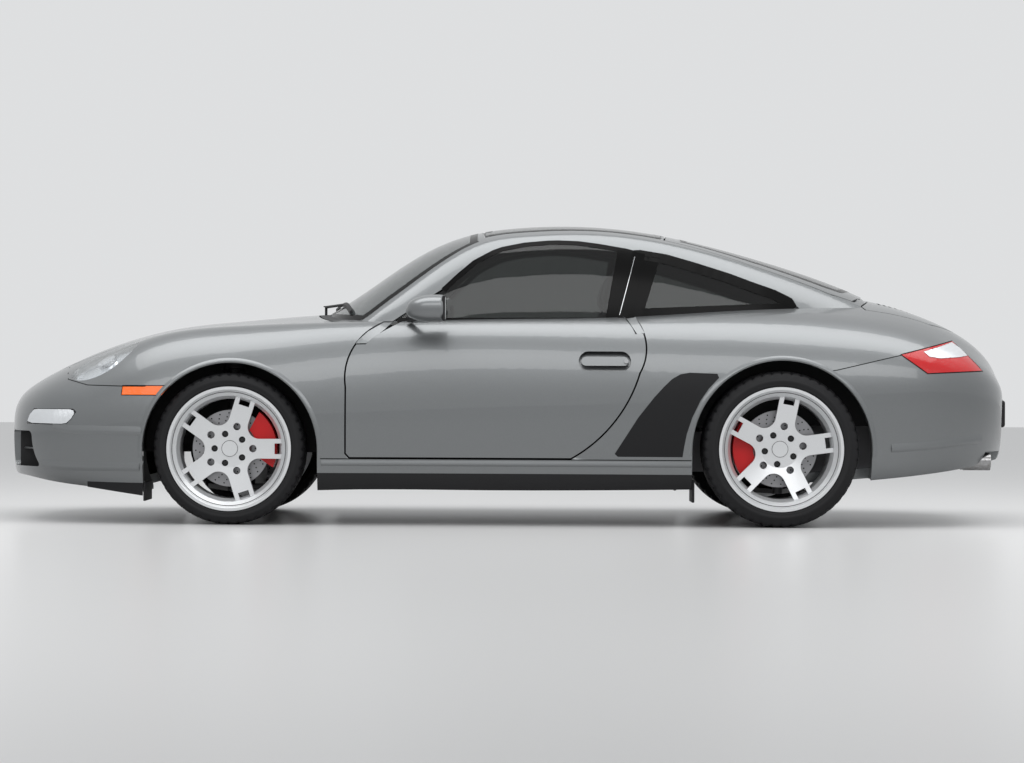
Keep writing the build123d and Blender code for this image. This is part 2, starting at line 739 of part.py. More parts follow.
def tyre(radius, width, rim_width):
    """A tyre for a rim: sidewalls, rounded shoulders and a slightly crowned tread."""
    half, seat = width / 2, rim_width / 2
    shoulder, tread = radius * TYRE_SHOULDER_SHARE, width * TYRE_TREAD_SHARE
    bulge = BEAD_RADIUS + (radius - BEAD_RADIUS) * TYRE_BULGE_SHARE
    left = [
        (BEAD_RADIUS, seat - RIM_SEAT - FIT), (RIM_RADIUS, seat - RIM_LIP - FIT), (bulge, half),
        (shoulder, half * TYRE_SHOULDER_WIDTH_SHARE), (radius - CROWN_DROP, tread), (radius, 0),
    ]
    right = [(r, -y) for r, y in reversed(left[:-1])]
    outline = [Vector(r, y, 0) for r, y in left + right]
    return revolve(Face(Wire.make_polygon(outline, close=True)), Axis.Y, 360)


def brake_disc():
    """A brake disc with its hat, centred on the origin with its axle along Y."""
    back = DISC_CENTRE_INSET - DISC_THICKNESS / 2
    front = DISC_CENTRE_INSET + DISC_THICKNESS / 2
    hat = front + HUB_THICKNESS
    wall = BARREL_WALL
    pts = [
        (HUB_BORE_RADIUS, hat - wall), (HUB_BORE_RADIUS, hat), (DISC_HAT_RADIUS - wall, hat),
        (DISC_HAT_RADIUS, hat - wall), (DISC_HAT_RADIUS, front), (DISC_RADIUS, front), (DISC_RADIUS, back),
        (DISC_HAT_RADIUS, back), (DISC_HAT_RADIUS - wall, front), (DISC_HAT_RADIUS - wall, hat - wall),
    ]
    return revolve(Face(Wire.make_polygon([Vector(r, y, 0) for r, y in pts], close=True)), Axis.Y, 360)


def calliper(angle):
    """A calliper that bridges the disc, centred on the origin's axle, at an angle from +X about Y."""
    low = DISC_CENTRE_INSET - DISC_THICKNESS / 2 - CALLIPER_GAP - CALLIPER_WALL
    high = DISC_CENTRE_INSET + DISC_THICKNESS / 2 + CALLIPER_GAP + CALLIPER_WALL
    start, end = math.radians(-CALLIPER_HALF_ANGLE), math.radians(CALLIPER_HALF_ANGLE)
    inner_start, inner_end = start * CALLIPER_TAPER_SHARE, end * CALLIPER_TAPER_SHARE

    def at(radius, turn):
        return Vector(radius * math.cos(turn), radius * math.sin(turn))

    edges = [
        Edge.make_three_point_arc(
            at(CALLIPER_OUTER_RADIUS, start), at(CALLIPER_OUTER_RADIUS, 0), at(CALLIPER_OUTER_RADIUS, end)
        ),
        Edge.make_line(at(CALLIPER_OUTER_RADIUS, end), at(CALLIPER_INNER_RADIUS, inner_end)),
        Edge.make_three_point_arc(
            at(CALLIPER_INNER_RADIUS, inner_end),
            at(CALLIPER_INNER_RADIUS, 0),
            at(CALLIPER_INNER_RADIUS, inner_start),
        ),
        Edge.make_line(at(CALLIPER_INNER_RADIUS, inner_start), at(CALLIPER_OUTER_RADIUS, start)),
    ]
    plane = Plane(origin=(0, low, 0), x_dir=(1, 0, 0), z_dir=(0, 1, 0))
    solid = plane * extrude(Face(Wire(edges)), high - low)
    slot_low = DISC_CENTRE_INSET - DISC_THICKNESS / 2 - CALLIPER_GAP
    slot_plane = Plane(origin=(0, slot_low, 0), z_dir=(0, 1, 0))
    slot = slot_plane * extrude(Circle(DISC_RADIUS + CALLIPER_GAP), DISC_THICKNESS + 2 * CALLIPER_GAP)
    return Rot(0, angle, 0) * (solid - slot)


def on_axle(piece, hub):
    """A wheel piece made at the origin, set on the left hub."""
    return Pos(hub) * piece


def layer(loft, depth_out, depth_in, prism):
    """The skin between two depths, inside a prism."""
    return (loft(depth_out) & prism) - loft(depth_in)


def lid_panel(loft, face, z_low):
    """A lid: a thin hemmed edge at the full outline with a thicker inner panel set in from it."""
    edge = layer(loft, 0, LID_FLANGE, plan_prism(face, z_low))
    under = layer(loft, LID_FLANGE, LID_THICKNESS, plan_prism(grown(face, -LID_HEM), z_low))
    return biggest(edge + under)


def lid_opening(loft, face, gap, z_low, swing=0.0):
    """What a lid's opening takes out round it: a recess, longer at its swinging end, over a narrower hole."""
    outline = plan_prism(grown(face, gap), z_low)
    if swing:
        outline = outline + Pos(swing, 0, 0) * outline
    return [layer(loft, -FIT, LID_THICKNESS + FIT, outline), plan_prism(grown(face, -LEDGE), z_low)]


def cut(piece, cutters):
    """A piece with each cutter taken out."""
    for cutter in cutters:
        piece = piece - cutter
    return piece


os.makedirs("parts", exist_ok=True)
BODY, BODY_IN = body_loft(0), body_loft(PANEL)
BODY_UNDER = body_loft(PANEL + FIT)
CABIN, CABIN_IN = cabin_loft(0), cabin_loft(ROOF_WALL)
SHELL = BODY - BODY_IN
LEFT = box(-LENGTH, LENGTH, 0, WIDTH, -OVERRUN, HEIGHT + OVERRUN)
HOOD_Z, DECK_Z, ROOF_Z = HOOD_LOW_SHARE * HEIGHT, DECK_LOW_SHARE * HEIGHT, ROOF_LOW_SHARE * HEIGHT
BELT_Z = BELT_SHARE * HEIGHT

hood_face, deck_face = plan_face(HOOD_SHARES), plan_face(ENGINE_LID_SHARES)
screen_face, roof_face = plan_face(WINDSCREEN_SHARES), plan_face(ROOF_PANEL_SHARES)
hatch_face = plan_face(HATCH_SHARES)
door_face = side_face(DOOR_SHARES)
door_glass_face, quarter_glass_face = side_face(DOOR_GLASS_SHARES), side_face(QUARTER_GLASS_SHARES)
bumper_face, tail_face = side_face(FRONT_BUMPER_SHARES), side_face(REAR_BUMPER_SHARES)

hood_cut = lid_opening(body_loft, hood_face, SHUT_GAP, HOOD_Z, SWING_GAP / 2)
deck_cut = lid_opening(body_loft, deck_face, SHUT_GAP, DECK_Z, -SWING_GAP)
hatch_cut = lid_opening(cabin_loft, hatch_face, SHUT_GAP, ROOF_Z, -SWING_GAP)
roof_cut = lid_opening(cabin_loft, roof_face, SHUT_GAP, ROOF_Z)
front_house = wheel_house(FRONT_HUB, FRONT_ARCH_RADIUS, FRONT_HOUSE_Y)
rear_house = wheel_house(REAR_HUB, REAR_ARCH_RADIUS, REAR_HOUSE_Y)
houses = [front_house, rear_house, mirrored(front_house), mirrored(rear_house)]
lamp_hole = headlamp_prism(0)
door_hole = side_prism(grown(door_face, SHUT_GAP), DOOR_INNER_Y, WIDTH)
door_holes = [door_hole, mirrored(door_hole)]


def side_lamp(shares, depth):
    """A lamp let into the skin behind a side-view outline."""
    return layer(body_loft, 0, depth, side_prism(side_face(shares), OVERRUN / 2, WIDTH))


# Lamps in the skin
front_lamp = side_lamp(FRONT_LAMP_SHARES, LAMP_DEPTH)
marker = side_lamp(MARKER_SHARES, MARKER_DEPTH) - front_house
tail_lamp = side_lamp(TAIL_LAMP_SHARES, LAMP_DEPTH)
skin_lamps = both(front_lamp) + both(marker) + both(tail_lamp)
headlamp = layer(body_loft, 0, HEADLAMP_LENS, lamp_hole)
lamp_unit = layer(body_loft, PANEL - LID_THICKNESS, PANEL, headlamp_prism(0))

# Front and rear bumpers
across = WIDTH
bumper = SHELL & side_prism(bumper_face, -across, across)
bumper_floor_x = FRONT_HUB_X + FRONT_ARCH_RADIUS + 2 * HOUSE_ROOM
bumper_floor = box(0, bumper_floor_x, -FRONT_HOUSE_Y, FRONT_HOUSE_Y, 0, HOOD_Z)
lamp_holes = both(lamp_hole & LEFT)
intakes = [intake_prism(row, 0, row[0] * LENGTH) for row in INTAKE_SHARES]
bumper = biggest(cut(bumper, hood_cut + houses + [bumper_floor] + intakes + lamp_holes + skin_lamps))
tail = SHELL & side_prism(tail_face, -across, across)
tail_floor = box(SILENCER_X, 0, -SILENCER_Y - SILENCER_RADIUS, SILENCER_Y + SILENCER_RADIUS, 0, SILENCER_Z)
tail = biggest(cut(tail, deck_cut + houses + [tail_floor] + skin_lamps))
write("front_bumper", bumper)

# Lids
write("front_lid", lid_panel(body_loft, hood_face, HOOD_Z))
deck = lid_panel(body_loft, deck_face, DECK_Z)
for i in range(VENT_COUNT):
    vent_x = VENT_REAR_X + i * VENT_PITCH
    deck -= box(vent_x, vent_x + VENT_WIDTH, -VENT_HALF_WIDTH, VENT_HALF_WIDTH, DECK_Z, HEIGHT)
write("engine_lid", deck)
write("roof_panel", lid_panel(cabin_loft, roof_face, ROOF_Z))
hatch_pane = plan_prism(grown(hatch_face, -HATCH_GLASS_INSET), ROOF_Z)
hatch_bore = plan_prism(grown(hatch_face, -HATCH_GLASS_INSET - LID_HEM), ROOF_Z)
hatch_glass = layer(cabin_loft, 0, GLASS, hatch_pane)
write("hatch_glass", hatch_glass)
write("rear_hatch", biggest(lid_panel(cabin_loft, hatch_face, ROOF_Z) - hatch_glass - hatch_bore))

# Front fenders, cowl and rear quarters
rocker_zone = box(
    ROCKER_REAR_SHARE * LENGTH, ROCKER_FRONT_SHARE * LENGTH, 0, WIDTH, 0, ROCKER_TOP_SHARE * HEIGHT
)
rocker_zones = both(rocker_zone)
cowl_zone = box(
    COWL_REAR_SHARE * LENGTH, COWL_FRONT_SHARE * LENGTH, -COWL_HALF_WIDTH, COWL_HALF_WIDTH, HOOD_Z, HEIGHT
)
ahead = box(DOOR_SHARES[0][0] * LENGTH, LENGTH, 0, WIDTH, 0, HEIGHT)
cabin_holes = [CABIN_IN] + door_holes
fender = (SHELL & ahead) - side_prism(bumper_face, -across, across)
fender = cut(fender, [cowl_zone] + hood_cut + cabin_holes + [front_house, lamp_hole, marker, rocker_zone])
fender = biggest(fender & box(0, LENGTH, FENDER_INNER_Y, WIDTH, 0, HEIGHT))
write("front_fenders", both(fender))
cowl = biggest(cut(SHELL & cowl_zone, hood_cut + [CABIN_IN]))
write("cowl_panel", cowl)
behind_x = DOOR_SHARES[-1][0] * LENGTH
behind = box(-LENGTH, behind_x, -WIDTH, WIDTH, 0, HEIGHT)
heel = box(behind_x, HEEL_FRONT_SHARE * LENGTH, SIDE_INNER_Y, WIDTH, 0, HEEL_TOP_SHARE * HEIGHT)
behind = behind + heel + mirrored(heel)
quarters = (SHELL & behind) - side_prism(tail_face, -across, across)
quarter_floor = box(-LENGTH, 0, -SIDE_INNER_Y, SIDE_INNER_Y, 0, DECK_Z)
quarters = cut(quarters, [quarter_floor] + deck_cut + hatch_cut + cabin_holes)
quarters = biggest(cut(quarters, houses + rocker_zones + skin_lamps))
write("rear_quarters", quarters)
rocker = SHELL & box(
    ROCKER_REAR_SHARE * LENGTH, ROCKER_FRONT_SHARE * LENGTH, SIDE_INNER_Y, WIDTH,
    ROCKER_LOW_SHARE * HEIGHT, ROCKER_TOP_SHARE * HEIGHT,
)
skirt = SHELL & box(
    ROCKER_REAR_SHARE * LENGTH, ROCKER_FRONT_SHARE * LENGTH, SIDE_INNER_Y, WIDTH, 0, ROCKER_LOW_SHARE * HEIGHT
)
write("rocker_panels", both(biggest(rocker - front_house - rear_house)))
write("side_skirts", both(biggest(skirt - front_house - rear_house)))

# Lamps
write("front_lamps", both(front_lamp))
write("side_markers", both(marker))
write("tail_lamps", both(tail_lamp))
write("headlamps", both(headlamp))
projector = lamp_plane() * extrude(Circle(PROJECTOR_RADIUS), LID_THICKNESS * 2, both=True)
projector = projector & body_loft(HEADLAMP_LENS + FIT)
write("lamp_units", both(biggest(lamp_unit + projector)))

# Grilles: a back plate in each intake with its bars
grilles = []
for row in INTAKE_SHARES:
    x_back = row[0] * LENGTH
    slot = intake_prism(row, -FIT, x_back) & BODY
    plate = slot & box(x_back, x_back + GRILLE_THICKNESS, -across, across, 0, HEIGHT)
    z_mid, tall = row[2] * HEIGHT, row[4] * HEIGHT
    bars = int(tall / 2 / GRILLE_BAR_PITCH)
    for i in range(-bars, bars + 1):
        z = z_mid + i * GRILLE_BAR_PITCH
        reach = x_back + GRILLE_THICKNESS + GRILLE_BAR_DEPTH
        plate += slot & box(x_back, reach, -across, across, z - GRILLE_BAR / 2, z + GRILLE_BAR / 2)
    grilles.append(biggest(plate))
write("front_grilles", grilles)

# Glasshouse: frame, windscreen and quarter windows
screen = layer(cabin_loft, 0, GLASS, plan_prism(screen_face, ROOF_Z)) - BODY
screen = biggest(screen)
write("windshield", screen)
quarter_prism = side_prism(quarter_glass_face, GLASS_INNER_Y, WIDTH)
quarter_glass = biggest(layer(cabin_loft, 0, GLASS, quarter_prism) - BODY)
write("quarter_windows", both(quarter_glass))
pane_prism = side_prism(grown(door_glass_face, SHUT_GAP), GLASS_INNER_Y, WIDTH)
screen_bore = plan_prism(grown(screen_face, -LID_HEM), ROOF_Z)
quarter_bore = side_prism(grown(quarter_glass_face, -LID_HEM), GLASS_INNER_Y, WIDTH)
frame_end = box(-LENGTH, HATCH_SHARES[-2][0] * LENGTH, -WIDTH, WIDTH, 0, HEIGHT + OVERRUN)
frame = (CABIN - CABIN_IN) - BODY
frame = cut(frame, [frame_end, screen_bore, quarter_bore, mirrored(quarter_bore)])
frame = cut(frame, [pane_prism, mirrored(pane_prism)] + roof_cut + hatch_cut + [screen] + both(quarter_glass))
frame = frame - plan_prism(grown(deck_face, SWING_GAP), DECK_Z)
frame = biggest(frame)
write("roof_frame", frame)

# The tail's cut-outs for the exhaust tips
tip_y = SILENCER_Y + TIP_PITCH
tip_room = box(-LENGTH, TIP_NOTCH_X, tip_y - TIP_NOTCH, tip_y + TIP_NOTCH, 0, TIP_NOTCH_Z)
write("rear_bumper", biggest(tail - tip_room - mirrored(tip_room)))

# Doors with their windows and mirrors
door_outer = BODY & side_prism(door_face, DOOR_STEP_Y, WIDTH)
door_inner = BODY & side_prism(grown(door_face, -DOOR_TAPER), DOOR_INNER_Y, DOOR_STEP_Y)
pane_low = box(-LENGTH, LENGTH, 0, WIDTH, BELT_Z, HEIGHT)
slot_low = box(-LENGTH, LENGTH, 0, WIDTH, BELT_Z - FIT, HEIGHT)
pane = layer(cabin_loft, 0, GLASS, side_prism(door_glass_face, GLASS_INNER_Y, WIDTH)) & pane_low
slot_prism = side_prism(grown(door_glass_face, FIT), GLASS_INNER_Y, WIDTH)
pane_slot = layer(cabin_loft, -FIT, GLASS + FIT, slot_prism) & slot_low
pillar_foot = cabin_loft(-SHUT_GAP) - side_prism(grown(door_glass_face, FIT), 0, WIDTH)
door = biggest(door_outer + door_inner - pane_slot - (pillar_foot & LEFT))
post_x = HANDLE_LENGTH / 2 - HANDLE_GRIP
handle_plane = Plane(origin=(HANDLE_X, HANDLE_Y, HANDLE_Z), x_dir=(1, 0, 0), z_dir=(0, 1, 0))
recess = handle_plane * extrude(SlotOverall(HANDLE_LENGTH, HANDLE_HEIGHT), HALF_WIDTH)
door = biggest(door - (recess - body_loft(HANDLE_DEPTH)))
grip = handle_plane * extrude(SlotOverall(HANDLE_LENGTH - 2 * HANDLE_MARGIN, HANDLE_GRIP), HALF_WIDTH)
grip = layer(body_loft, -HANDLE_PROUD, HANDLE_MARGIN, grip)
post = handle_plane * Pos(post_x, 0) * extrude(Circle(HANDLE_MARGIN), HALF_WIDTH)
other_post = handle_plane * Pos(-post_x, 0) * extrude(Circle(HANDLE_MARGIN), HALF_WIDTH)
posts = layer(body_loft, 0, HANDLE_DEPTH + HANDLE_MARGIN, post + other_post)
door = biggest(door + grip + posts)
for side, name in ((1, "left"), (-1, "right")):
    write(f"door_{name}", door if side == 1 else mirrored(door))
    write(f"door_window_{name}", pane if side == 1 else mirrored(pane))

mirror_back = (MIRROR_X - MIRROR_LENGTH / 2, MIRROR_Y, MIRROR_Z)
mirror_plane = Plane(origin=mirror_back, x_dir=(0, 1, 0), z_dir=(1, 0, 0))
housing_back = mirror_plane * RectangleRounded(MIRROR_WIDTH, MIRROR_HEIGHT, MIRROR_HEIGHT * MIRROR_ROUND_SHARE)
tip_wide, tip_high = MIRROR_WIDTH * MIRROR_TIP_WIDTH_SHARE, MIRROR_HEIGHT * MIRROR_TIP_HEIGHT_SHARE
tip_round = MIRROR_HEIGHT * MIRROR_TIP_ROUND_SHARE
housing_front = mirror_plane.offset(MIRROR_LENGTH) * RectangleRounded(tip_wide, tip_high, tip_round)
housing = loft([housing_back.face(), housing_front.face()])
foot_top = (MIRROR_X, MIRROR_Y - MIRROR_WIDTH / 2 + MIRROR_FOOT_RADIUS * 2, MIRROR_Z - MIRROR_HEIGHT / 4)
foot_low = (MIRROR_X + MIRROR_LENGTH / 2, MIRROR_FOOT_Y, MIRROR_FOOT_Z)
mirror_piece = biggest(housing + rod(foot_top, foot_low, MIRROR_FOOT_RADIUS) - door - pane)
write("mirror_left", mirror_piece)
write("mirror_right", mirrored(mirror_piece))

# Body sides: the door opening's posts and sill between the skin and the cabin
side_zone = box(SIDE_REAR_X, SIDE_FRONT_X, SIDE_INNER_Y, DOOR_STEP_Y, FLOOR_Z, HEIGHT) & BODY_UNDER
step_hole = side_prism(grown(door_face, SHUT_GAP), DOOR_INNER_Y - FIT, WIDTH)
through_hole = side_prism(grown(door_face, -DOOR_TAPER - LEDGE), 0, WIDTH)
body_side = cut(side_zone, [step_hole, through_hole, front_house, rear_house, CABIN_IN])
body_side = biggest(body_side)
write("body_sides", both(body_side))


# Wheel-house liners
def liner(hub, radius, inner_y, low_z, wall_z):
    """The liner of a wheel arch: an arched sheet with its inner wall, up against the skin."""
    centre = Vector(hub.X - ARCH_SETBACK, inner_y - HOUSE_WALL, hub.Z - ARCH_SETBACK)
    plane = Plane(origin=centre, z_dir=(0, 1, 0))
    drum = plane * extrude(Circle(radius + HOUSE_ROOM + HOUSE_WALL), WIDTH)
    room = plane * extrude(Circle(radius + HOUSE_ROOM), WIDTH)
    room = Pos(0, HOUSE_WALL, 0) * room
    arch = (drum - room) & box(-LENGTH, LENGTH, 0, WIDTH, low_z, HEIGHT)
    under = box(-LENGTH, LENGTH, 0, inner_y, 0, wall_z)
    return (arch - under) & body_loft(PANEL + FIT)


front_liner = liner(FRONT_HUB, FRONT_ARCH_RADIUS, FRONT_HOUSE_Y, FLOOR_Z, FRONT_WALL_Z)
rear_liner = liner(REAR_HUB, REAR_ARCH_RADIUS, REAR_HOUSE_Y, FLOOR_Z, REAR_WALL_Z)
front_liner = biggest(front_liner - body_side)
rear_liner = biggest(rear_liner - body_side)
kingpin_low = Vector(FRONT_HUB.X, FRONT_HUB.Y - KINGPIN_LOW_INSET, KINGPIN_LOW_Z)
kingpin_top = Vector(FRONT_HUB.X, KINGPIN_TOP_Y, KINGPIN_TOP_Z)
kingpin = (kingpin_top - kingpin_low).normalized()
tower = rod(kingpin_top + kingpin * FIT, kingpin_top + kingpin * TOWER_HEIGHT, TOWER_RADIUS)
front_liner = biggest(front_liner + (tower & BODY_UNDER))
write("wheel_houses", both(front_liner) + both(rear_liner))

# Floor, bulkheads and shelf
wide = SIDE_INNER_Y
slab = box(REAR_PAN_X - FLOOR_THICKNESS, COWL_X + BULKHEAD, -wide, wide, FLOOR_Z, FLOOR_Z + FLOOR_THICKNESS)
floor = box(REAR_PAN_X - FLOOR_THICKNESS, REAR_PAN_X, -wide, wide, FLOOR_Z, REAR_PAN_Z)
floor += box(REAR_WALL_X, REAR_PAN_X, -wide, wide, REAR_PAN_Z - FLOOR_THICKNESS, REAR_PAN_Z)
floor += box(REAR_WALL_X - BULKHEAD, REAR_WALL_X, -wide, wide, REAR_PAN_Z - FLOOR_THICKNESS, SHELF_Z)
floor += box(SHELF_REAR_X, REAR_WALL_X, -wide, wide, SHELF_Z - FLOOR_THICKNESS, SHELF_Z)
floor += box(COWL_X, COWL_X + BULKHEAD, -wide, wide, FLOOR_Z, HEIGHT)
tunnel = box(REAR_PAN_X, COWL_X, -TUNNEL_HALF_WIDTH, TUNNEL_HALF_WIDTH, FLOOR_Z, FLOOR_Z + TUNNEL_HEIGHT)
hollow = TUNNEL_HALF_WIDTH - TUNNEL_WALL
floor = ((floor + tunnel) & BODY_UNDER) + slab
floor -= box(-LENGTH, COWL_X + BULKHEAD, -hollow, hollow, 0, FLOOR_Z + TUNNEL_HEIGHT - TUNNEL_WALL)
floor = cut(floor, houses + both(front_liner) + both(rear_liner) + both(body_side))
floor = biggest(floor)
for x in JACK_PAD_XS:
    for y in (-JACK_PAD_Y, JACK_PAD_Y):
        floor += Pos(x, y, FLOOR_Z - JACK_PAD_HEIGHT) * extrude(Circle(JACK_PAD_RADIUS), JACK_PAD_HEIGHT)
write("floor_pan", floor)

# Luggage tub under the front lid
tub_out = box(COWL_X + BULKHEAD, TUB_FRONT_X, -TUB_HALF_WIDTH, TUB_HALF_WIDTH, TUB_FLOOR_Z, HEIGHT)
tub_low = TUB_FLOOR_Z + TUB_WALL
tub_half = TUB_HALF_WIDTH - TUB_WALL
tub_in = box(COWL_X + BULKHEAD + TUB_WALL, TUB_FRONT_X - TUB_WALL, -tub_half, tub_half, tub_low, HEIGHT)
rim_zone = plan_prism(grown(hood_face, TUB_WALL - LEDGE), HOOD_Z)
rim_zone -= box(0, COWL_X + BULKHEAD, -WIDTH, WIDTH, 0, HEIGHT)
tub_rim = layer(body_loft, PANEL + FIT, PANEL + FIT + TUB_WALL, rim_zone)
tub = biggest((tub_out & BODY_UNDER) + tub_rim - tub_in)
tub = biggest(cut(tub, both(front_liner) + [cowl]))
write("luggage_tub", tub)

# Dashboard, steering wheel and wipers
dash_rear, dash_low = DASH_X - DASH_DEPTH / 2, DASH_TOP_Z - DASH_HEIGHT
dash_pts = [
    (dash_rear, dash_low), (dash_rear, DASH_TOP_Z - DASH_HEIGHT / 4), (DASH_X - DASH_DEPTH / 3, DASH_TOP_Z),
    (COWL_X, DASH_TOP_Z), (COWL_X, dash_low),
]
dash = Face(Wire.make_polygon([Vector(x, -DASH_HALF_WIDTH, z) for x, z in dash_pts], close=True))
dash = extrude(dash, 2 * DASH_HALF_WIDTH, dir=(0, 1, 0)) & cabin_loft(ROOF_WALL + FIT)
dash = biggest(dash - cowl - floor - fender - mirrored(fender))
helm_axis = Vector(-math.cos(math.radians(HELM_TILT)), 0, math.sin(math.radians(HELM_TILT)))
helm_centre = Vector(HELM_X, SEAT_Y, HELM_Z)
helm_plane = Plane(origin=helm_centre, x_dir=(0, 1, 0), z_dir=helm_axis)
helm = helm_plane * Torus(HELM_RADIUS, HELM_TUBE)
boss = extrude(Circle(HELM_BOSS_RADIUS), HELM_BOSS_DEPTH + HELM_TUBE)
helm += helm_plane * Pos(0, 0, -HELM_BOSS_DEPTH) * boss
for turn in (0, 90, 180):
    reach = HELM_RADIUS - HELM_BOSS_RADIUS + HELM_TUBE
    spoke = Pos(HELM_BOSS_RADIUS - HELM_TUBE + reach / 2, 0, -HELM_TUBE / 2) * Box(reach, HELM_SPOKE, HELM_TUBE)
    helm += helm_plane * (Rot(0, 0, turn - 180) * spoke)
column_end = helm_centre - helm_axis * COLUMN_LENGTH
helm += rod(helm_centre, column_end, COLUMN_RADIUS)
helm = biggest(helm - dash)
write("dashboard", dash)
write("steering_wheel", helm)


# Seats
def front_seat():
    """A front seat with its bolsters, back and head restraint."""
    middle = Pos(SEAT_X, 0, SEAT_TOP_Z - SEAT_THICKNESS / 2)
    base = middle * Box(SEAT_LENGTH, SEAT_WIDTH, SEAT_THICKNESS)
    base = fillet(base.edges().filter_by(Axis.Y), SEAT_ROUND)
    half = SEAT_WIDTH / 2 - SEAT_ROUND
    low = FLOOR_Z + FLOOR_THICKNESS
    base += box(SEAT_X - half, SEAT_X + half, -half, half, low, SEAT_TOP_Z - SEAT_ROUND)
    back = Pos(0, 0, SEAT_BACK_HEIGHT / 2) * Box(SEAT_BACK_THICKNESS, SEAT_WIDTH, SEAT_BACK_HEIGHT)
    back = fillet(back.edges().filter_by(Axis.Y), SEAT_ROUND)
    head = Pos(0, 0, SEAT_BACK_HEIGHT + HEADREST_HEIGHT / 3) * Box(
        SEAT_BACK_THICKNESS - SEAT_ROUND, HEADREST_WIDTH, HEADREST_HEIGHT
    )
    hinge = Pos(SEAT_X - SEAT_LENGTH / 2 + SEAT_ROUND, 0, SEAT_TOP_Z - SEAT_THICKNESS / 2)
    return base + hinge * Rot(0, -SEAT_BACK_ANGLE, 0) * (back + head)


seat = Pos(0, SEAT_Y, 0) * front_seat()
write("front_seats", both(biggest(seat)))
half = REAR_SEAT_WIDTH / 2
rear_seat = box(
    REAR_SEAT_X - REAR_SEAT_LENGTH, REAR_SEAT_X, -half, half, REAR_PAN_Z, REAR_PAN_Z + REAR_SEAT_HEIGHT
)
rear_seat = fillet(rear_seat.edges().filter_by(Axis.Y), SEAT_ROUND)
rear_back = box(
    REAR_WALL_X, REAR_WALL_X + REAR_BACK_THICKNESS, -half, half, REAR_PAN_Z, REAR_PAN_Z + REAR_BACK_HEIGHT
)
rear_seat = (Pos(0, SEAT_Y, 0) * (rear_seat + rear_back)) - rear_liner - body_side
write("rear_seats", both(biggest(rear_seat)))

# Engine and gearbox block, exhaust
engine_rear = ENGINE_FRONT_X - ENGINE_LENGTH
engine_top = ENGINE_LOW_Z + ENGINE_HEIGHT
engine = box(engine_rear, ENGINE_FRONT_X, -ENGINE_HALF_WIDTH, ENGINE_HALF_WIDTH, ENGINE_LOW_Z, engine_top)
gearbox_front, gearbox_half = ENGINE_FRONT_X + GEARBOX_LENGTH, GEARBOX_WIDTH / 2
gearbox_top = ENGINE_LOW_Z + GEARBOX_HEIGHT
engine += box(ENGINE_FRONT_X, gearbox_front, -gearbox_half, gearbox_half, ENGINE_LOW_Z, gearbox_top)
write("engine", engine)
exhaust = []
for side in (1, -1):
    inner, near = side * ENGINE_HALF_WIDTH, side * SILENCER_Y
    far = side * (SILENCER_Y + SILENCER_LENGTH)
    silencer = rod((SILENCER_X, near, SILENCER_Z), (SILENCER_X, far, SILENCER_Z), SILENCER_RADIUS)
    for k in (-1, 1):
        y = side * (tip_y + k * TIP_PITCH / 2)
        bend = Vector(TIP_BEND_X, y, TIP_Z)
        end = Vector(TIP_REAR_X, y, TIP_Z)
        pipe = rod((SILENCER_X, y, SILENCER_Z - SILENCER_RADIUS / 2), bend, TIP_RADIUS - 2 * TIP_WALL)
        silencer += pipe + Pos(bend) * Sphere(TIP_RADIUS - 2 * TIP_WALL)
        silencer += rod(bend - Vector(TIP_RADIUS / 2, 0, 0), end, TIP_RADIUS)
        silencer -= rod(end + Vector(TIP_LENGTH, 0, 0), end - Vector(TIP_WALL, 0, 0), TIP_RADIUS - TIP_WALL)
    manifold = (engine_rear + TIP_RADIUS, inner * SILENCER_PIPE_SHARE, SILENCER_Z)
    silencer += rod((SILENCER_X, near, SILENCER_Z), manifold, TIP_RADIUS)
    exhaust.append(biggest(silencer - engine))
write("exhaust", exhaust)

# Wipers, parked over the foot of the windscreen
wipers = []
for (pivot_x, pivot_y), (start, end) in zip(WIPER_PIVOTS, WIPER_BLADES):
    start, end = Vector(*start), Vector(*end)
    middle = (start + end) / 2
    along = (end - start).normalized() * WIPER_RADIUS
    across = Vector(-along.Y, along.X)
    strip = [start - across, start + across, end + across, end - across]
    strip = extrude(Face(Wire.make_polygon(strip, close=True)), HEIGHT, dir=(0, 0, 1))
    blade = layer(cabin_loft, -WIPER_CLEAR - WIPER_HEIGHT, -WIPER_CLEAR, strip)
    blade = blade & box(0, LENGTH, -WIDTH, WIDTH, HOOD_Z, HEIGHT)
    mid = blade & (Pos(middle.X, middle.Y, HEIGHT / 2) * Box(2 * WIPER_RADIUS, 2 * WIPER_RADIUS, HEIGHT))
    hold = mid.bounding_box().center()
    pivot = Vector(pivot_x, pivot_y, WIPER_PIVOT_Z)
    arm = rod(pivot, hold, WIPER_RADIUS) + rod((pivot_x, pivot_y, WIPER_PIVOT_LOW_Z), pivot, WIPER_RADIUS)
    arm += Pos(pivot) * extrude(Circle(WIPER_RADIUS * 2), WIPER_CLEAR)
    wipers.append(biggest(blade + arm - cowl - screen))
write("wipers", wipers)

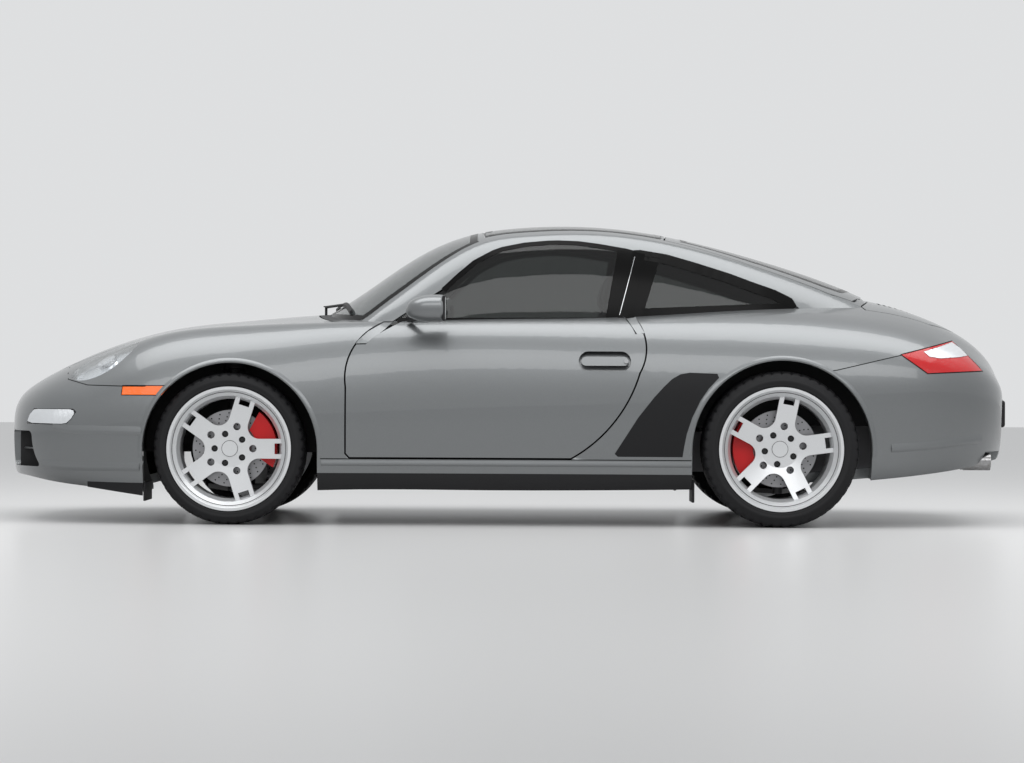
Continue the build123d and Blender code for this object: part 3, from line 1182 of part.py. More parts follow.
# Wheels, brakes and suspension
front_rim = Rot(0, FRONT_WHEEL_TURN, 0) * rim(FRONT_TYRE_WIDTH - RIM_NARROWER, FRONT_FACE_Y)
rear_rim = Rot(0, REAR_WHEEL_TURN, 0) * rim(REAR_TYRE_WIDTH - RIM_NARROWER, REAR_FACE_Y)
front_tyre = tyre(FRONT_TYRE_RADIUS, FRONT_TYRE_WIDTH, FRONT_TYRE_WIDTH - RIM_NARROWER)
rear_tyre = tyre(REAR_TYRE_RADIUS, REAR_TYRE_WIDTH, REAR_TYRE_WIDTH - RIM_NARROWER)
disc = brake_disc()
for end, hub, one_rim, one_tyre in (
    ("front", FRONT_HUB, front_rim, front_tyre),
    ("rear", REAR_HUB, rear_rim, rear_tyre),
):
    for kind, piece in (("rim", one_rim), ("tyre", one_tyre), ("disc", disc)):
        placed = on_axle(piece, hub)
        write(f"{kind}_{end}_left", placed)
        write(f"{kind}_{end}_right", mirrored(placed))
front_calliper = on_axle(calliper(FRONT_CALLIPER_ANGLE), FRONT_HUB)
write("calliper_front_left", front_calliper)
write("calliper_front_right", mirrored(front_calliper))
write("callipers_rear", both(on_axle(calliper(REAR_CALLIPER_ANGLE), REAR_HUB)))


def carrier(angle):
    """The wheel carrier with its stub axle and the calliper's bracket, at the origin's axle."""
    piece = rod((0, CARRIER_BACK, 0), (0, CARRIER_FRONT, 0), CARRIER_RADIUS)
    piece += rod((0, 0, 0), (0, STUB_END, 0), STUB_RADIUS)
    bracket_y = DISC_CENTRE_INSET - DISC_THICKNESS / 2 - CALLIPER_GAP - CALLIPER_WALL
    half = BRACKET_HEIGHT / 2
    bracket = box(0, BRACKET_REACH, bracket_y - BRACKET_THICKNESS, bracket_y, -half, half)
    return piece + Rot(0, angle, 0) * bracket


def lower_arm(hub_x, tip_y):
    """A flat arm from the subframe out to a point under the wheel carrier."""
    root = Vector(hub_x, SUBFRAME_HALF_WIDTH - SUBFRAME_RAIL / 2, ARM_TOP_Z - ARM_THICKNESS)
    tip = Vector(hub_x, tip_y, ARM_TOP_Z - ARM_THICKNESS)
    wide, narrow = Vector(ARM_ROOT_HALF_WIDTH, 0, 0), Vector(ARM_TIP_RADIUS, 0, 0)
    outline = Wire.make_polygon([root - wide, root + wide, tip + narrow, tip - narrow], close=True)
    plate = extrude(Face(outline), ARM_THICKNESS, dir=(0, 0, 1))
    return plate + rod(tip, tip + Vector(0, 0, ARM_THICKNESS), ARM_TIP_RADIUS)


knuckle = on_axle(carrier(FRONT_CALLIPER_ANGLE), FRONT_HUB)
knuckle += rod(kingpin_low, kingpin_top - kingpin * SPRING_SEAT_THICKNESS, KINGPIN_RADIUS)
strut_foot = kingpin_low + kingpin * (kingpin_top - kingpin_low).length / 2
knuckle += rod(strut_foot, kingpin_top, STRUT_RADIUS)
knuckle += rod(kingpin_top - kingpin * SPRING_SEAT_THICKNESS, kingpin_top, SPRING_SEAT_RADIUS)
write("knuckle_left", knuckle)
write("knuckle_right", mirrored(knuckle))

low_joint = kingpin_low - kingpin * FIT
arm = lower_arm(FRONT_HUB.X, kingpin_low.Y)
arm += rod(low_joint - kingpin * ARM_THICKNESS, low_joint, KINGPIN_RADIUS)
member = box(
    FRONT_HUB.X - SUBFRAME_HALF_LENGTH, FRONT_HUB.X + SUBFRAME_HALF_LENGTH,
    -SUBFRAME_HALF_WIDTH, SUBFRAME_HALF_WIDTH, SUBFRAME_LOW_Z, SUBFRAME_LOW_Z + SUBFRAME_HEIGHT,
)
post = box(
    FRONT_HUB.X - SUBFRAME_RAIL, FRONT_HUB.X + SUBFRAME_RAIL,
    TUB_HALF_WIDTH / 2, TUB_HALF_WIDTH / 2 + SUBFRAME_RAIL, SUBFRAME_LOW_Z + SUBFRAME_HEIGHT, TUB_FLOOR_Z,
)
axle = member + arm + mirrored(arm) + post + mirrored(post)
write("front_axle", axle)

rear_arm = lower_arm(REAR_HUB.X, REAR_HUB.Y - KINGPIN_LOW_INSET)
upright_y = REAR_HUB.Y - KINGPIN_LOW_INSET
upright_foot = (REAR_HUB.X, upright_y, ARM_TOP_Z - ARM_THICKNESS)
rear_arm += rod(upright_foot, (REAR_HUB.X, upright_y, REAR_HUB.Z), ARM_TIP_RADIUS)
rear_arm += on_axle(carrier(REAR_CALLIPER_ANGLE), REAR_HUB)
shaft_end = (REAR_HUB.X, GEARBOX_WIDTH / 2, ENGINE_LOW_Z + GEARBOX_HEIGHT / 2)
rear_arm += rod(shaft_end, REAR_HUB + Vector(0, CARRIER_BACK + ARM_THICKNESS, 0), SHAFT_RADIUS)
rear_member = box(
    REAR_HUB.X - SUBFRAME_HALF_LENGTH, REAR_HUB.X + SUBFRAME_HALF_LENGTH,
    -SUBFRAME_HALF_WIDTH, SUBFRAME_HALF_WIDTH, SUBFRAME_LOW_Z, ENGINE_LOW_Z,
)
rail_y = TUB_HALF_WIDTH / 2
rail = box(REAR_HUB.X, REAR_WALL_X, rail_y, rail_y + SUBFRAME_RAIL, SUBFRAME_LOW_Z, ENGINE_LOW_Z)
pan_low = REAR_PAN_Z - FLOOR_THICKNESS
rail += box(REAR_WALL_X - BULKHEAD, REAR_WALL_X, rail_y, rail_y + SUBFRAME_RAIL, SUBFRAME_LOW_Z, pan_low)
rear_axle = rear_member + rear_arm + mirrored(rear_arm) + rail + mirrored(rail) - engine
write("rear_axle", rear_axle)
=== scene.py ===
import json
import math

import bmesh
import bpy
from mathutils import Matrix, Vector
from mathutils.bvhtree import BVHTree
from mathutils.geometry import delaunay_2d_cdt


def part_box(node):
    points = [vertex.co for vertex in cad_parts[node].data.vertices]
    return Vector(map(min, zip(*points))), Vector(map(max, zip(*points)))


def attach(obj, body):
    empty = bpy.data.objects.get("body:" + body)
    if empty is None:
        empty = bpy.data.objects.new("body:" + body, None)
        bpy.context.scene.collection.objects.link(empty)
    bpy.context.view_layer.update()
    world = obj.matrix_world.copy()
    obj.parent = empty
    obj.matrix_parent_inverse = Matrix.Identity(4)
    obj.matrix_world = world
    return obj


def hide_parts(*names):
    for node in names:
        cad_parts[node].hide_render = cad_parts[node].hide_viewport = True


# The looks of a removable-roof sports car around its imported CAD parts. Metres, +X to the nose, +Y to the
# car's left, +Z up.

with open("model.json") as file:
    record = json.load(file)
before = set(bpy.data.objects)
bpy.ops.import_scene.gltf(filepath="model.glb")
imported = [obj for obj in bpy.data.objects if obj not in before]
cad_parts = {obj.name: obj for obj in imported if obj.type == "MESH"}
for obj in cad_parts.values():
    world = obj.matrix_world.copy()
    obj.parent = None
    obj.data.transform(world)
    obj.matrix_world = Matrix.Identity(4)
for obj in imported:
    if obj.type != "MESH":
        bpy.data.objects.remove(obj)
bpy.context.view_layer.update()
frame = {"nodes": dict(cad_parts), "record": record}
nodes = frame["nodes"]

# The photo's camera: a long lens to the car's left, rolled a little
CAMERA_PLACE = (-0.015, 14.0, 0.616)
CAMERA_ROLL = math.radians(0.29)
FOCAL_PIXELS = 3087.0
PICTURE_WIDTH = 1024
SENSOR_MM = 36.0

# Axles
FRONT_HUB = Vector((1.190, 0.744, 0.3235))
REAR_HUB = Vector((-1.160, 0.765, 0.3328))
WHEELS = (
    # name, hub, side, tyre radius, tyre width, turn of the rim
    ("front_left", FRONT_HUB, 1, 0.3235, 0.235, math.radians(180)),
    ("front_right", FRONT_HUB, -1, 0.3235, 0.235, math.radians(180)),
    ("rear_left", REAR_HUB, 1, 0.3328, 0.295, math.radians(188)),
    ("rear_right", REAR_HUB, -1, 0.3328, 0.295, math.radians(188)),
)
BEAD_RADIUS = 0.241

# How far a strip's hidden edge sinks under the skin
UNDER = 0.0006

SIDES = ((1, "left"), (-1, "right"))


def shader(name, colour, metallic=0.0, roughness=0.5, coat=0.0, glow=0.0, shine=0.5):
    """A plain material with its constants on the shader."""
    material = bpy.data.materials.new(name)
    material.use_nodes = True
    surface = material.node_tree.nodes["Principled BSDF"]
    surface.inputs["Base Color"].default_value = (*colour, 1)
    surface.inputs["Metallic"].default_value = metallic
    surface.inputs["Roughness"].default_value = roughness
    surface.inputs["Coat Weight"].default_value = coat
    surface.inputs["Coat Roughness"].default_value = 0.04
    surface.inputs["Specular IOR Level"].default_value = shine
    if glow:
        surface.inputs["Emission Color"].default_value = (*colour, 1)
        surface.inputs["Emission Strength"].default_value = glow
    return material


def textured(tree, kind, scale):
    """A texture laid out over the object."""
    texture = tree.nodes.new(f"ShaderNodeTex{kind}")
    texture.inputs["Scale"].default_value = scale
    place = tree.nodes.new("ShaderNodeTexCoord")
    tree.links.new(place.outputs["Object"], texture.inputs["Vector"])
    return texture


def bumped(material, texture, strength, distance):
    """Adds a texture's bump to a material."""
    tree = material.node_tree
    bump = tree.nodes.new("ShaderNodeBump")
    bump.inputs["Strength"].default_value = strength
    bump.inputs["Distance"].default_value = distance
    tree.links.new(texture.outputs["Fac"], bump.inputs["Height"])
    tree.links.new(bump.outputs["Normal"], tree.nodes["Principled BSDF"].inputs["Normal"])
    return material


def roughened(material, scale, strength):
    """Adds a fine noise bump to a material."""
    noise = textured(material.node_tree, "Noise", scale)
    noise.inputs["Detail"].default_value = 6.0
    return bumped(material, noise, strength, 0.001)


def pane(name, tint, dark=0.0, roughness=0.02):
    """A thin glass: light goes straight through, tinted, and the surface is glossy at low angles."""
    material = bpy.data.materials.new(name)
    material.use_nodes = True
    tree = material.node_tree
    new, link = tree.nodes.new, tree.links.new
    body = tree.nodes["Principled BSDF"]
    body.inputs["Base Color"].default_value = (0.010, 0.011, 0.012, 1)
    body.inputs["Roughness"].default_value = 0.5
    body.inputs["Specular IOR Level"].default_value = 0.0
    through = new("ShaderNodeBsdfTransparent")
    through.inputs["Color"].default_value = (*tint, 1)
    solid = new("ShaderNodeMixShader")
    solid.inputs["Fac"].default_value = dark
    gloss = new("ShaderNodeBsdfGlossy")
    gloss.inputs["Color"].default_value = (0.9, 0.9, 0.9, 1)
    gloss.inputs["Roughness"].default_value = roughness
    angle = new("ShaderNodeLayerWeight")
    angle.inputs["Blend"].default_value = 0.5
    curve = new("ShaderNodeMath")
    curve.operation = "POWER"
    curve.inputs[1].default_value = 3.2
    share = new("ShaderNodeMath")
    share.operation = "MULTIPLY_ADD"
    share.inputs[1].default_value = 0.80
    share.inputs[2].default_value = 0.03
    surface = new("ShaderNodeMixShader")
    link(angle.outputs["Facing"], curve.inputs[0])
    link(curve.outputs["Value"], share.inputs[0])
    link(through.outputs["BSDF"], solid.inputs[1])
    link(body.outputs["BSDF"], solid.inputs[2])
    link(share.outputs["Value"], surface.inputs["Fac"])
    link(solid.outputs["Shader"], surface.inputs[1])
    link(gloss.outputs["BSDF"], surface.inputs[2])
    link(surface.outputs["Shader"], tree.nodes["Material Output"].inputs["Surface"])
    return material


def flaked(material, one, other, scale):
    """Fine metallic flakes: the colour shifts between two near tones."""
    tree = material.node_tree
    noise = textured(tree, "Noise", scale)
    noise.inputs["Detail"].default_value = 3.0
    ramp = tree.nodes.new("ShaderNodeValToRGB")
    ramp.color_ramp.elements[0].position = 0.35
    ramp.color_ramp.elements[0].color = (*one, 1)
    ramp.color_ramp.elements[1].position = 0.65
    ramp.color_ramp.elements[1].color = (*other, 1)
    tree.links.new(noise.outputs["Fac"], ramp.inputs["Fac"])
    tree.links.new(ramp.outputs["Color"], tree.nodes["Principled BSDF"].inputs["Base Color"])
    return material


def lined(material, centre, name):
    """A copy of a paint with a dark lining on the faces that look at the cabin."""
    copy = material.copy()
    copy.name = name
    tree = copy.node_tree
    new, link = tree.nodes.new, tree.links.new
    place = new("ShaderNodeTexCoord")
    away = new("ShaderNodeVectorMath")
    away.operation = "SUBTRACT"
    away.inputs[0].default_value = centre
    facing = new("ShaderNodeVectorMath")
    facing.operation = "DOT_PRODUCT"
    inner = new("ShaderNodeMath")
    inner.operation = "GREATER_THAN"
    inner.inputs[1].default_value = 0.02
    lining = new("ShaderNodeBsdfPrincipled")
    lining.inputs["Base Color"].default_value = (0.014, 0.014, 0.015, 1)
    lining.inputs["Roughness"].default_value = 0.9
    lining.inputs["Specular IOR Level"].default_value = 0.1
    mix = new("ShaderNodeMixShader")
    link(place.outputs["Object"], away.inputs[1])
    link(away.outputs["Vector"], facing.inputs[0])
    link(place.outputs["Normal"], facing.inputs[1])
    link(facing.outputs["Value"], inner.inputs[0])
    link(inner.outputs["Value"], mix.inputs["Fac"])
    link(tree.nodes["Principled BSDF"].outputs["BSDF"], mix.inputs[1])
    link(lining.outputs["BSDF"], mix.inputs[2])
    link(mix.outputs["Shader"], tree.nodes["Material Output"].inputs["Surface"])
    return copy


def ribbed(material, scale, strength):
    """Upright ribs moulded in a lens."""
    wave = textured(material.node_tree, "Wave", scale)
    wave.bands_direction = "X"
    return bumped(material, wave, strength, 0.002)


LOOKS = {
    "body_paint": flaked(
        shader("grey metallic paint", (0.165, 0.174, 0.178), 0.75, 0.40, coat=0.7),
        (0.150, 0.158, 0.162), (0.182, 0.191, 0.195), 900,
    ),
    "wheel_paint": flaked(
        shader("silver wheel paint", (0.62, 0.63, 0.64), 0.55, 0.34, coat=0.5),
        (0.58, 0.59, 0.60), (0.66, 0.67, 0.68), 1200,
    ),
    "tyre_rubber": roughened(shader("rubber", (0.010, 0.010, 0.011), 0, 0.58, shine=0.22), 900, 0.15),
    "black_plastic": roughened(
        shader("black plastic", (0.012, 0.012, 0.013), 0, 0.50, shine=0.25), 1500, 0.10),
    "cabin_plastic": roughened(
        shader("cabin plastic", (0.020, 0.020, 0.021), 0, 0.60, shine=0.3), 1200, 0.20),
    "seat_leather": roughened(
        shader("black leather", (0.016, 0.016, 0.017), 0, 0.45, shine=0.35), 500, 0.25),
    "cabin_glass": pane("tinted glass", (0.41, 0.425, 0.42), 0.02),
    "lamp_glass": pane("clear lens", (0.97, 0.98, 0.985)),
    "lamp_metal": shader("bright reflector", (0.80, 0.81, 0.83), 0.9, 0.22),
    "orange_lens": ribbed(shader("orange lens", (0.85, 0.13, 0.003), 0, 0.25, coat=0.3, glow=0.08), 60, 0.5),
    "red_lens": ribbed(
        shader("red lens", (0.42, 0.004, 0.006), 0, 0.2, coat=0.5, glow=0.05, shine=0.3), 50, 0.35),
    # The calliper paint has a small emission: a painted glow, though the calliper is no lamp
    "calliper_paint": roughened(
        shader("red paint", (0.52, 0.004, 0.006), 0, 0.35, coat=0.2, glow=0.04, shine=0.3), 400, 0.1),
    "brake_iron": roughened(shader("machined iron", (0.30, 0.30, 0.31), 0.9, 0.38), 300, 0.10),
    "floor_paint": roughened(shader("underbody paint", (0.020, 0.020, 0.021), 0, 0.70), 250, 0.3),
    "axle_metal": roughened(shader("black cast metal", (0.035, 0.035, 0.037), 0.4, 0.55), 300, 0.3),
    "engine_metal": roughened(shader("cast block", (0.22, 0.22, 0.23), 0.8, 0.55), 200, 0.30),
    "exhaust_steel": flaked(
        shader("stainless steel", (0.30, 0.30, 0.31), 1.0, 0.28), (0.24, 0.235, 0.23), (0.36, 0.36, 0.365), 60
    ),
}
SEAM = shader("dark gap", (0.004, 0.004, 0.004), 0, 0.9, shine=0.0)
TRIM = shader("black window trim", (0.004, 0.004, 0.004), 0, 0.20, shine=0.08)
PAINT = LOOKS["body_paint"]
BLACK = LOOKS["black_plastic"]
LEATHER = LOOKS["seat_leather"]
CABIN = LOOKS["cabin_plastic"]
# Near-black film: the guard film ahead of the rear wheels, and painted shade under the front bumper
GUARD_FILM_AND_LIP_SHADE = roughened(shader("black guard film and painted under-bumper shade", (0.008, 0.008, 0.009), 0, 0.50, shine=0.22), 700, 0.1)
BRIGHT = shader("bright trim", (0.60, 0.61, 0.62), 1.0, 0.20)
STEEL = shader("zinc steel", (0.30, 0.30, 0.31), 0.9, 0.35)
# Near-black with no shine: painted shade for the insides of holes
HOLE_SHADE = shader("painted hole shade", (0.010, 0.010, 0.010), 0, 0.9, shine=0.0)
BOLT = shader("black bolt", (0.020, 0.020, 0.021), 0.6, 0.35)
SILVERED = shader("mirror glass", (0.75, 0.77, 0.78), 1.0, 0.03)
LENS_WHITE = ribbed(shader("white lamp insert", (0.62, 0.64, 0.66), 0.3, 0.20, coat=0.5), 55, 0.5)
DARK_RED = shader("dark red lens", (0.16, 0.003, 0.004), 0, 0.15, coat=1.0)
# Grey used as painted shade in the rim's groove, and as the plain grey of the air vent slats
GROOVE_SHADE_AND_SLAT_GREY = shader("painted groove shade and slat grey", (0.10, 0.10, 0.105), 0.3, 0.6)
DIAL = shader("dial face", (0.008, 0.008, 0.009), 0, 0.3)
NEEDLE = shader("dial needle", (0.70, 0.05, 0.02), 0, 0.4)
SCREEN = shader("blank screen", (0.004, 0.005, 0.006), 0, 0.08, coat=0.8)

for row in frame["record"]["subparts"]:
    data = nodes[row["node"]].data
    data.materials.clear()
    data.materials.append(LOOKS[row["material_slot"]])
nodes["windshield"].data.materials[0] = pane("windshield glass", (0.66, 0.68, 0.68), 0.01)
for node in ("roof_frame", "rear_hatch", "door_left", "door_right"):
    middle = (-0.30, 0.0, 0.80 if "door" not in node else 0.60)
    nodes[node].data.materials[0] = lined(LOOKS["body_paint"], middle, f"lined paint {node}")


def in_scene(name, data):
    """A new object of the scene."""
    made = bpy.data.objects.new(name, data)
    bpy.context.scene.collection.objects.link(made)
    return made


def mesh_piece(name, verts, faces, material, body="car_body", smooth=True):
    """A new object from points and faces, on a CAD body."""
    data = bpy.data.meshes.new(name)
    data.from_pydata([tuple(v) for v in verts], [], faces)
    data.validate()
    data.materials.append(material)
    for polygon in data.polygons:
        polygon.use_smooth = smooth
    piece = in_scene(name, data)
    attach(piece, body)
    return piece


def tree_of(*names):
    """A ray tree over CAD nodes in the row frame."""
    verts, faces = [], []
    for name in names:
        shown = nodes[name]
        base = len(verts)
        verts += [shown.matrix_world @ v.co for v in shown.data.vertices]
        faces += [[base + i for i in p.vertices] for p in shown.data.polygons]
    return BVHTree.FromPolygons(verts, faces)


def from_side(tree, x, z, side=1):
    """The outermost point and normal of a tree at x and z, seen from one side of the car."""
    place, normal, _, _ = tree.ray_cast(Vector((x, side * 3.0, z)), Vector((0, -side, 0)))
    if place is not None and normal.y * side < 0:
        normal = -normal
    return place, normal


def from_above(tree, x, y):
    """The topmost point and normal of a tree at x and y."""
    place, normal, _, _ = tree.ray_cast(Vector((x, y, 3.0)), Vector((0, 0, -1)))
    if place is not None and normal.z < 0:
        normal = -normal
    return place, normal


def spaced(points, step, closed=False):
    """Points about a step apart along a line of points."""
    points = [Vector(p) for p in points]
    if closed:
        points.append(points[0])
    out = []
    for a, b in zip(points, points[1:]):
        count = max(1, int((b - a).length / step))
        out += [a.lerp(b, i / count) for i in range(count)]
    return out + ([] if closed else [points[-1]])


def ribbon(name, hits, width, lift, material, body, closed=False):
    """A strip of a width along points that have normals, lifted off the surface."""
    hits = [(p, n) for p, n in hits if p is not None]
    count = len(hits)
    verts, faces = [], []
    for i, (point, normal) in enumerate(hits):
        before = hits[(i - 1) % count if closed else max(i - 1, 0)][0]
        after = hits[(i + 1) % count if closed else min(i + 1, count - 1)][0]
        along = (after - before).normalized()
        across = along.cross(normal).normalized() * width / 2
        raised = point + normal * lift
        verts += [raised - across, raised + across]
    for i in range(count if closed else count - 1):
        a, b = 2 * i, 2 * ((i + 1) % count)
        faces.append((a, b, b + 1, a + 1))
    return mesh_piece(name, verts, faces, material, body)


def side_lines(name, tree, points, width, material, lift=0.0006, closed=False, step=0.02):
    """A strip along a side-view line of (x, z), on both sides of the car."""
    for side, word in SIDES:
        line = spaced([(x, z, 0) for x, z in points], step, closed)
        hits = [from_side(tree, p.x, p.y, side) for p in line]
        ribbon(f"{name}_{word}", hits, width, lift, material, "car_body", closed)


def top_line(name, tree, points, width, material, body, lift=0.0006, closed=False, step=0.02):
    """A strip along a plan-view line of (x, y)."""
    hits = [from_above(tree, p.x, p.y) for p in spaced([(x, y, 0) for x, y in points], step, closed)]
    return ribbon(name, hits, width, lift, material, body, closed)


def patch(name, tree, outline, material, side, body="car_body", lift=0.0008, step=0.025):
    """A film over a side-view outline of (x, z)."""
    edge = [Vector((p.x, p.y)) for p in spaced([(x, z, 0) for x, z in outline], step, True)]
    low = Vector((min(p.x for p in edge), min(p.y for p in edge)))
    high = Vector((max(p.x for p in edge), max(p.y for p in edge)))
    inner = []
    count = len(edge)
    for i in range(1, int((high.x - low.x) / step) + 1):
        for j in range(1, int((high.y - low.y) / step) + 1):
            spot = low + Vector((i * step, j * step))
            inside = False
            for k in range(count):
                a, b = edge[k], edge[(k + 1) % count]
                if (a.y > spot.y) != (b.y > spot.y):
                    if spot.x < (b.x - a.x) * (spot.y - a.y) / (b.y - a.y) + a.x:
                        inside = not inside
            if inside and min((spot - p).length for p in edge) > step * 0.5:
                inner.append(spot)
    rim = [(k, (k + 1) % count) for k in range(count)]
    flat, _, cells, _, _, _ = delaunay_2d_cdt(edge + inner, rim, [list(range(count))], 2, 1e-6)
    hits = [from_side(tree, p.x, p.y, side) for p in flat]
    verts = [h[0] + h[1] * lift if h[0] else Vector((p.x, side * 0.5, p.y)) for h, p in zip(hits, flat)]
    keep = [tuple(c) for c in cells if all(hits[i][0] for i in c)]
    return mesh_piece(name, verts, keep, material, body)


def five_wide(verts, turned=False):
    """The faces of a strip whose rows have five points."""
    faces = []
    for i in range(len(verts) // 5 - 1):
        for j in range(4):
            a = 5 * i + j
            faces.append((a, a + 1, a + 6, a + 5) if turned else (a, a + 5, a + 6, a + 1))
    return faces


def ledge(name, tree, points, rise, drop, proud, step=0.02):
    """A moulded ledge along a side-view line: it leaves the skin above the line and turns back under it."""
    rows = (
        (rise, -UNDER), (0.25 * rise, 0.85 * proud), (0.0, proud), (-0.35 * drop, 0.7 * proud),
        (-drop, -UNDER),
    )
    for side, word in SIDES:
        verts = []
        for p in spaced([(x, z, 0) for x, z in points], step):
            hits = [from_side(tree, p.x, p.y + up, side) for up, _ in rows]
            if all(h[0] is not None for h in hits):
                verts += [h[0] + h[1] * out for h, (_, out) in zip(hits, rows)]
        mesh_piece(f"{name}_{word}", verts, five_wide(verts), PAINT)


def arch_lip(name, tree, hub, radius, start, end, side, steps=90):
    """The rolled edge round a wheel arch, from one angle to another."""
    rows = ((0.0015, -0.004), (0.0015, 0.0035), (0.006, 0.0045), (0.013, 0.0025), (0.022, -UNDER))
    verts = []
    for i in range(steps + 1):
        angle = math.radians(start + (end - start) * i / steps)
        hits = []
        for grow, _ in rows:
            reach = radius + grow
            x, z = hub.x + reach * math.cos(angle), hub.z + reach * math.sin(angle)
            hits.append(from_side(tree, x, z, side))
        if any(h[0] is None or abs(h[0].y) < 0.60 for h in hits):
            continue
        verts += [h[0] + h[1] * out for h, (_, out) in zip(hits, rows)]
    mesh_piece(name, verts, five_wide(verts, True), PAINT)


def rounded_block(name, centre, size, bevel, material, body="car_body", turn=(0, 0, 0), segments=4):
    """A block with rounded edges."""
    mesh = bmesh.new()
    bmesh.ops.create_cube(mesh, size=1.0)
    for vertex in mesh.verts:
        vertex.co = Vector(v * s for v, s in zip(vertex.co, size))
    bmesh.ops.bevel(mesh, geom=mesh.edges[:], offset=bevel, segments=segments, profile=0.6, affect="EDGES")
    placing = Matrix.Translation(centre) @ Matrix.Rotation(turn[2], 4, "Z") @ Matrix.Rotation(turn[1], 4, "Y")
    bmesh.ops.transform(mesh, matrix=placing, verts=mesh.verts)
    data = bpy.data.meshes.new(name)
    mesh.to_mesh(data)
    mesh.free()
    data.materials.append(material)
    for polygon in data.polygons:
        polygon.use_smooth = True
    piece = in_scene(name, data)
    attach(piece, body)
    return piece


def about(radius, angle, y=0.0):
    """A place about an axle."""
    return Vector((radius * math.cos(angle), y, radius * math.sin(angle)))


def lathe(name, profile, centre, turns, material, body, side=1, closed=False):
    """A profile of (radius, y) turned about an axle."""
    verts, faces = [], []
    rows = len(profile)
    for i in range(turns):
        angle = 2 * math.pi * i / turns
        for radius, y in profile:
            verts.append(centre + about(radius, angle, side * y))
    for i in range(turns):
        for j in range(rows if closed else rows - 1):
            a, b = i * rows + j, i * rows + (j + 1) % rows
            c, d = ((i + 1) % turns) * rows + (j + 1) % rows, ((i + 1) % turns) * rows + j
            faces.append((a, b, c, d))
    return mesh_piece(name, verts, faces, material, body)


def bar(name, start, end, radius, material, body="car_body", sides=16, taper=1.0):
    """A round bar between two points."""
    start, end = Vector(start), Vector(end)
    axis = end - start
    turn = axis.to_track_quat("Z", "Y").to_matrix().to_4x4()
    verts, faces = [], []
    for along, scale in ((0, 1.0), (axis.length, taper)):
        for i in range(sides):
            angle = 2 * math.pi * i / sides
            spot = Vector((radius * scale * math.cos(angle), radius * scale * math.sin(angle), along))
            verts.append(start + turn @ spot)
    for i in range(sides):
        faces.append((i, (i + 1) % sides, sides + (i + 1) % sides, sides + i))
    faces += [tuple(range(sides))[::-1], tuple(range(sides, 2 * sides))]
    piece = mesh_piece(name, verts, faces, material, body)
    for polygon in piece.data.polygons:
        polygon.use_smooth = len(polygon.vertices) == 4
    return piece


def on(side, vector):
    """A left-hand point, or its right-hand place."""
    return Vector((vector[0], side * vector[1], vector[2]))


# Tyres with grooves and sidewall rings
def tyre_profile(radius, width):
    """A tyre's outline as (radius, y), from one bead over the tread to the other."""
    half = width / 2
    rows = [
        (BEAD_RADIUS + 0.001, half - 0.020), (0.262, half - 0.011), (0.268, half - 0.008),
        (0.270, half - 0.0045),
        (0.276, half - 0.0020), (0.279, half - 0.0030), (0.282, half - 0.0012), (0.290, half),
        (0.297, half - 0.0008), (0.298, half - 0.0022), (0.301, half - 0.0022), (0.302, half - 0.0030),
        (radius * 0.955, half * 0.952), (radius * 0.970, half * 0.925), (radius * 0.985, half * 0.875),
        (radius - 0.0030, half * 0.80), (radius - 0.0012, half * 0.73),
    ]
    grooves = []
    for centre in (0.64, 0.24):
        near, far = half * centre + 0.0045, half * centre - 0.0045
        crown = radius - 0.0010 * centre
        grooves += [(crown, near), (crown - 0.007, near - 0.001), (crown - 0.007, far + 0.001), (crown, far)]
    out = rows + grooves + [(radius, half * 0.08)]
    return out + [(r, -y) for r, y in reversed(out)]


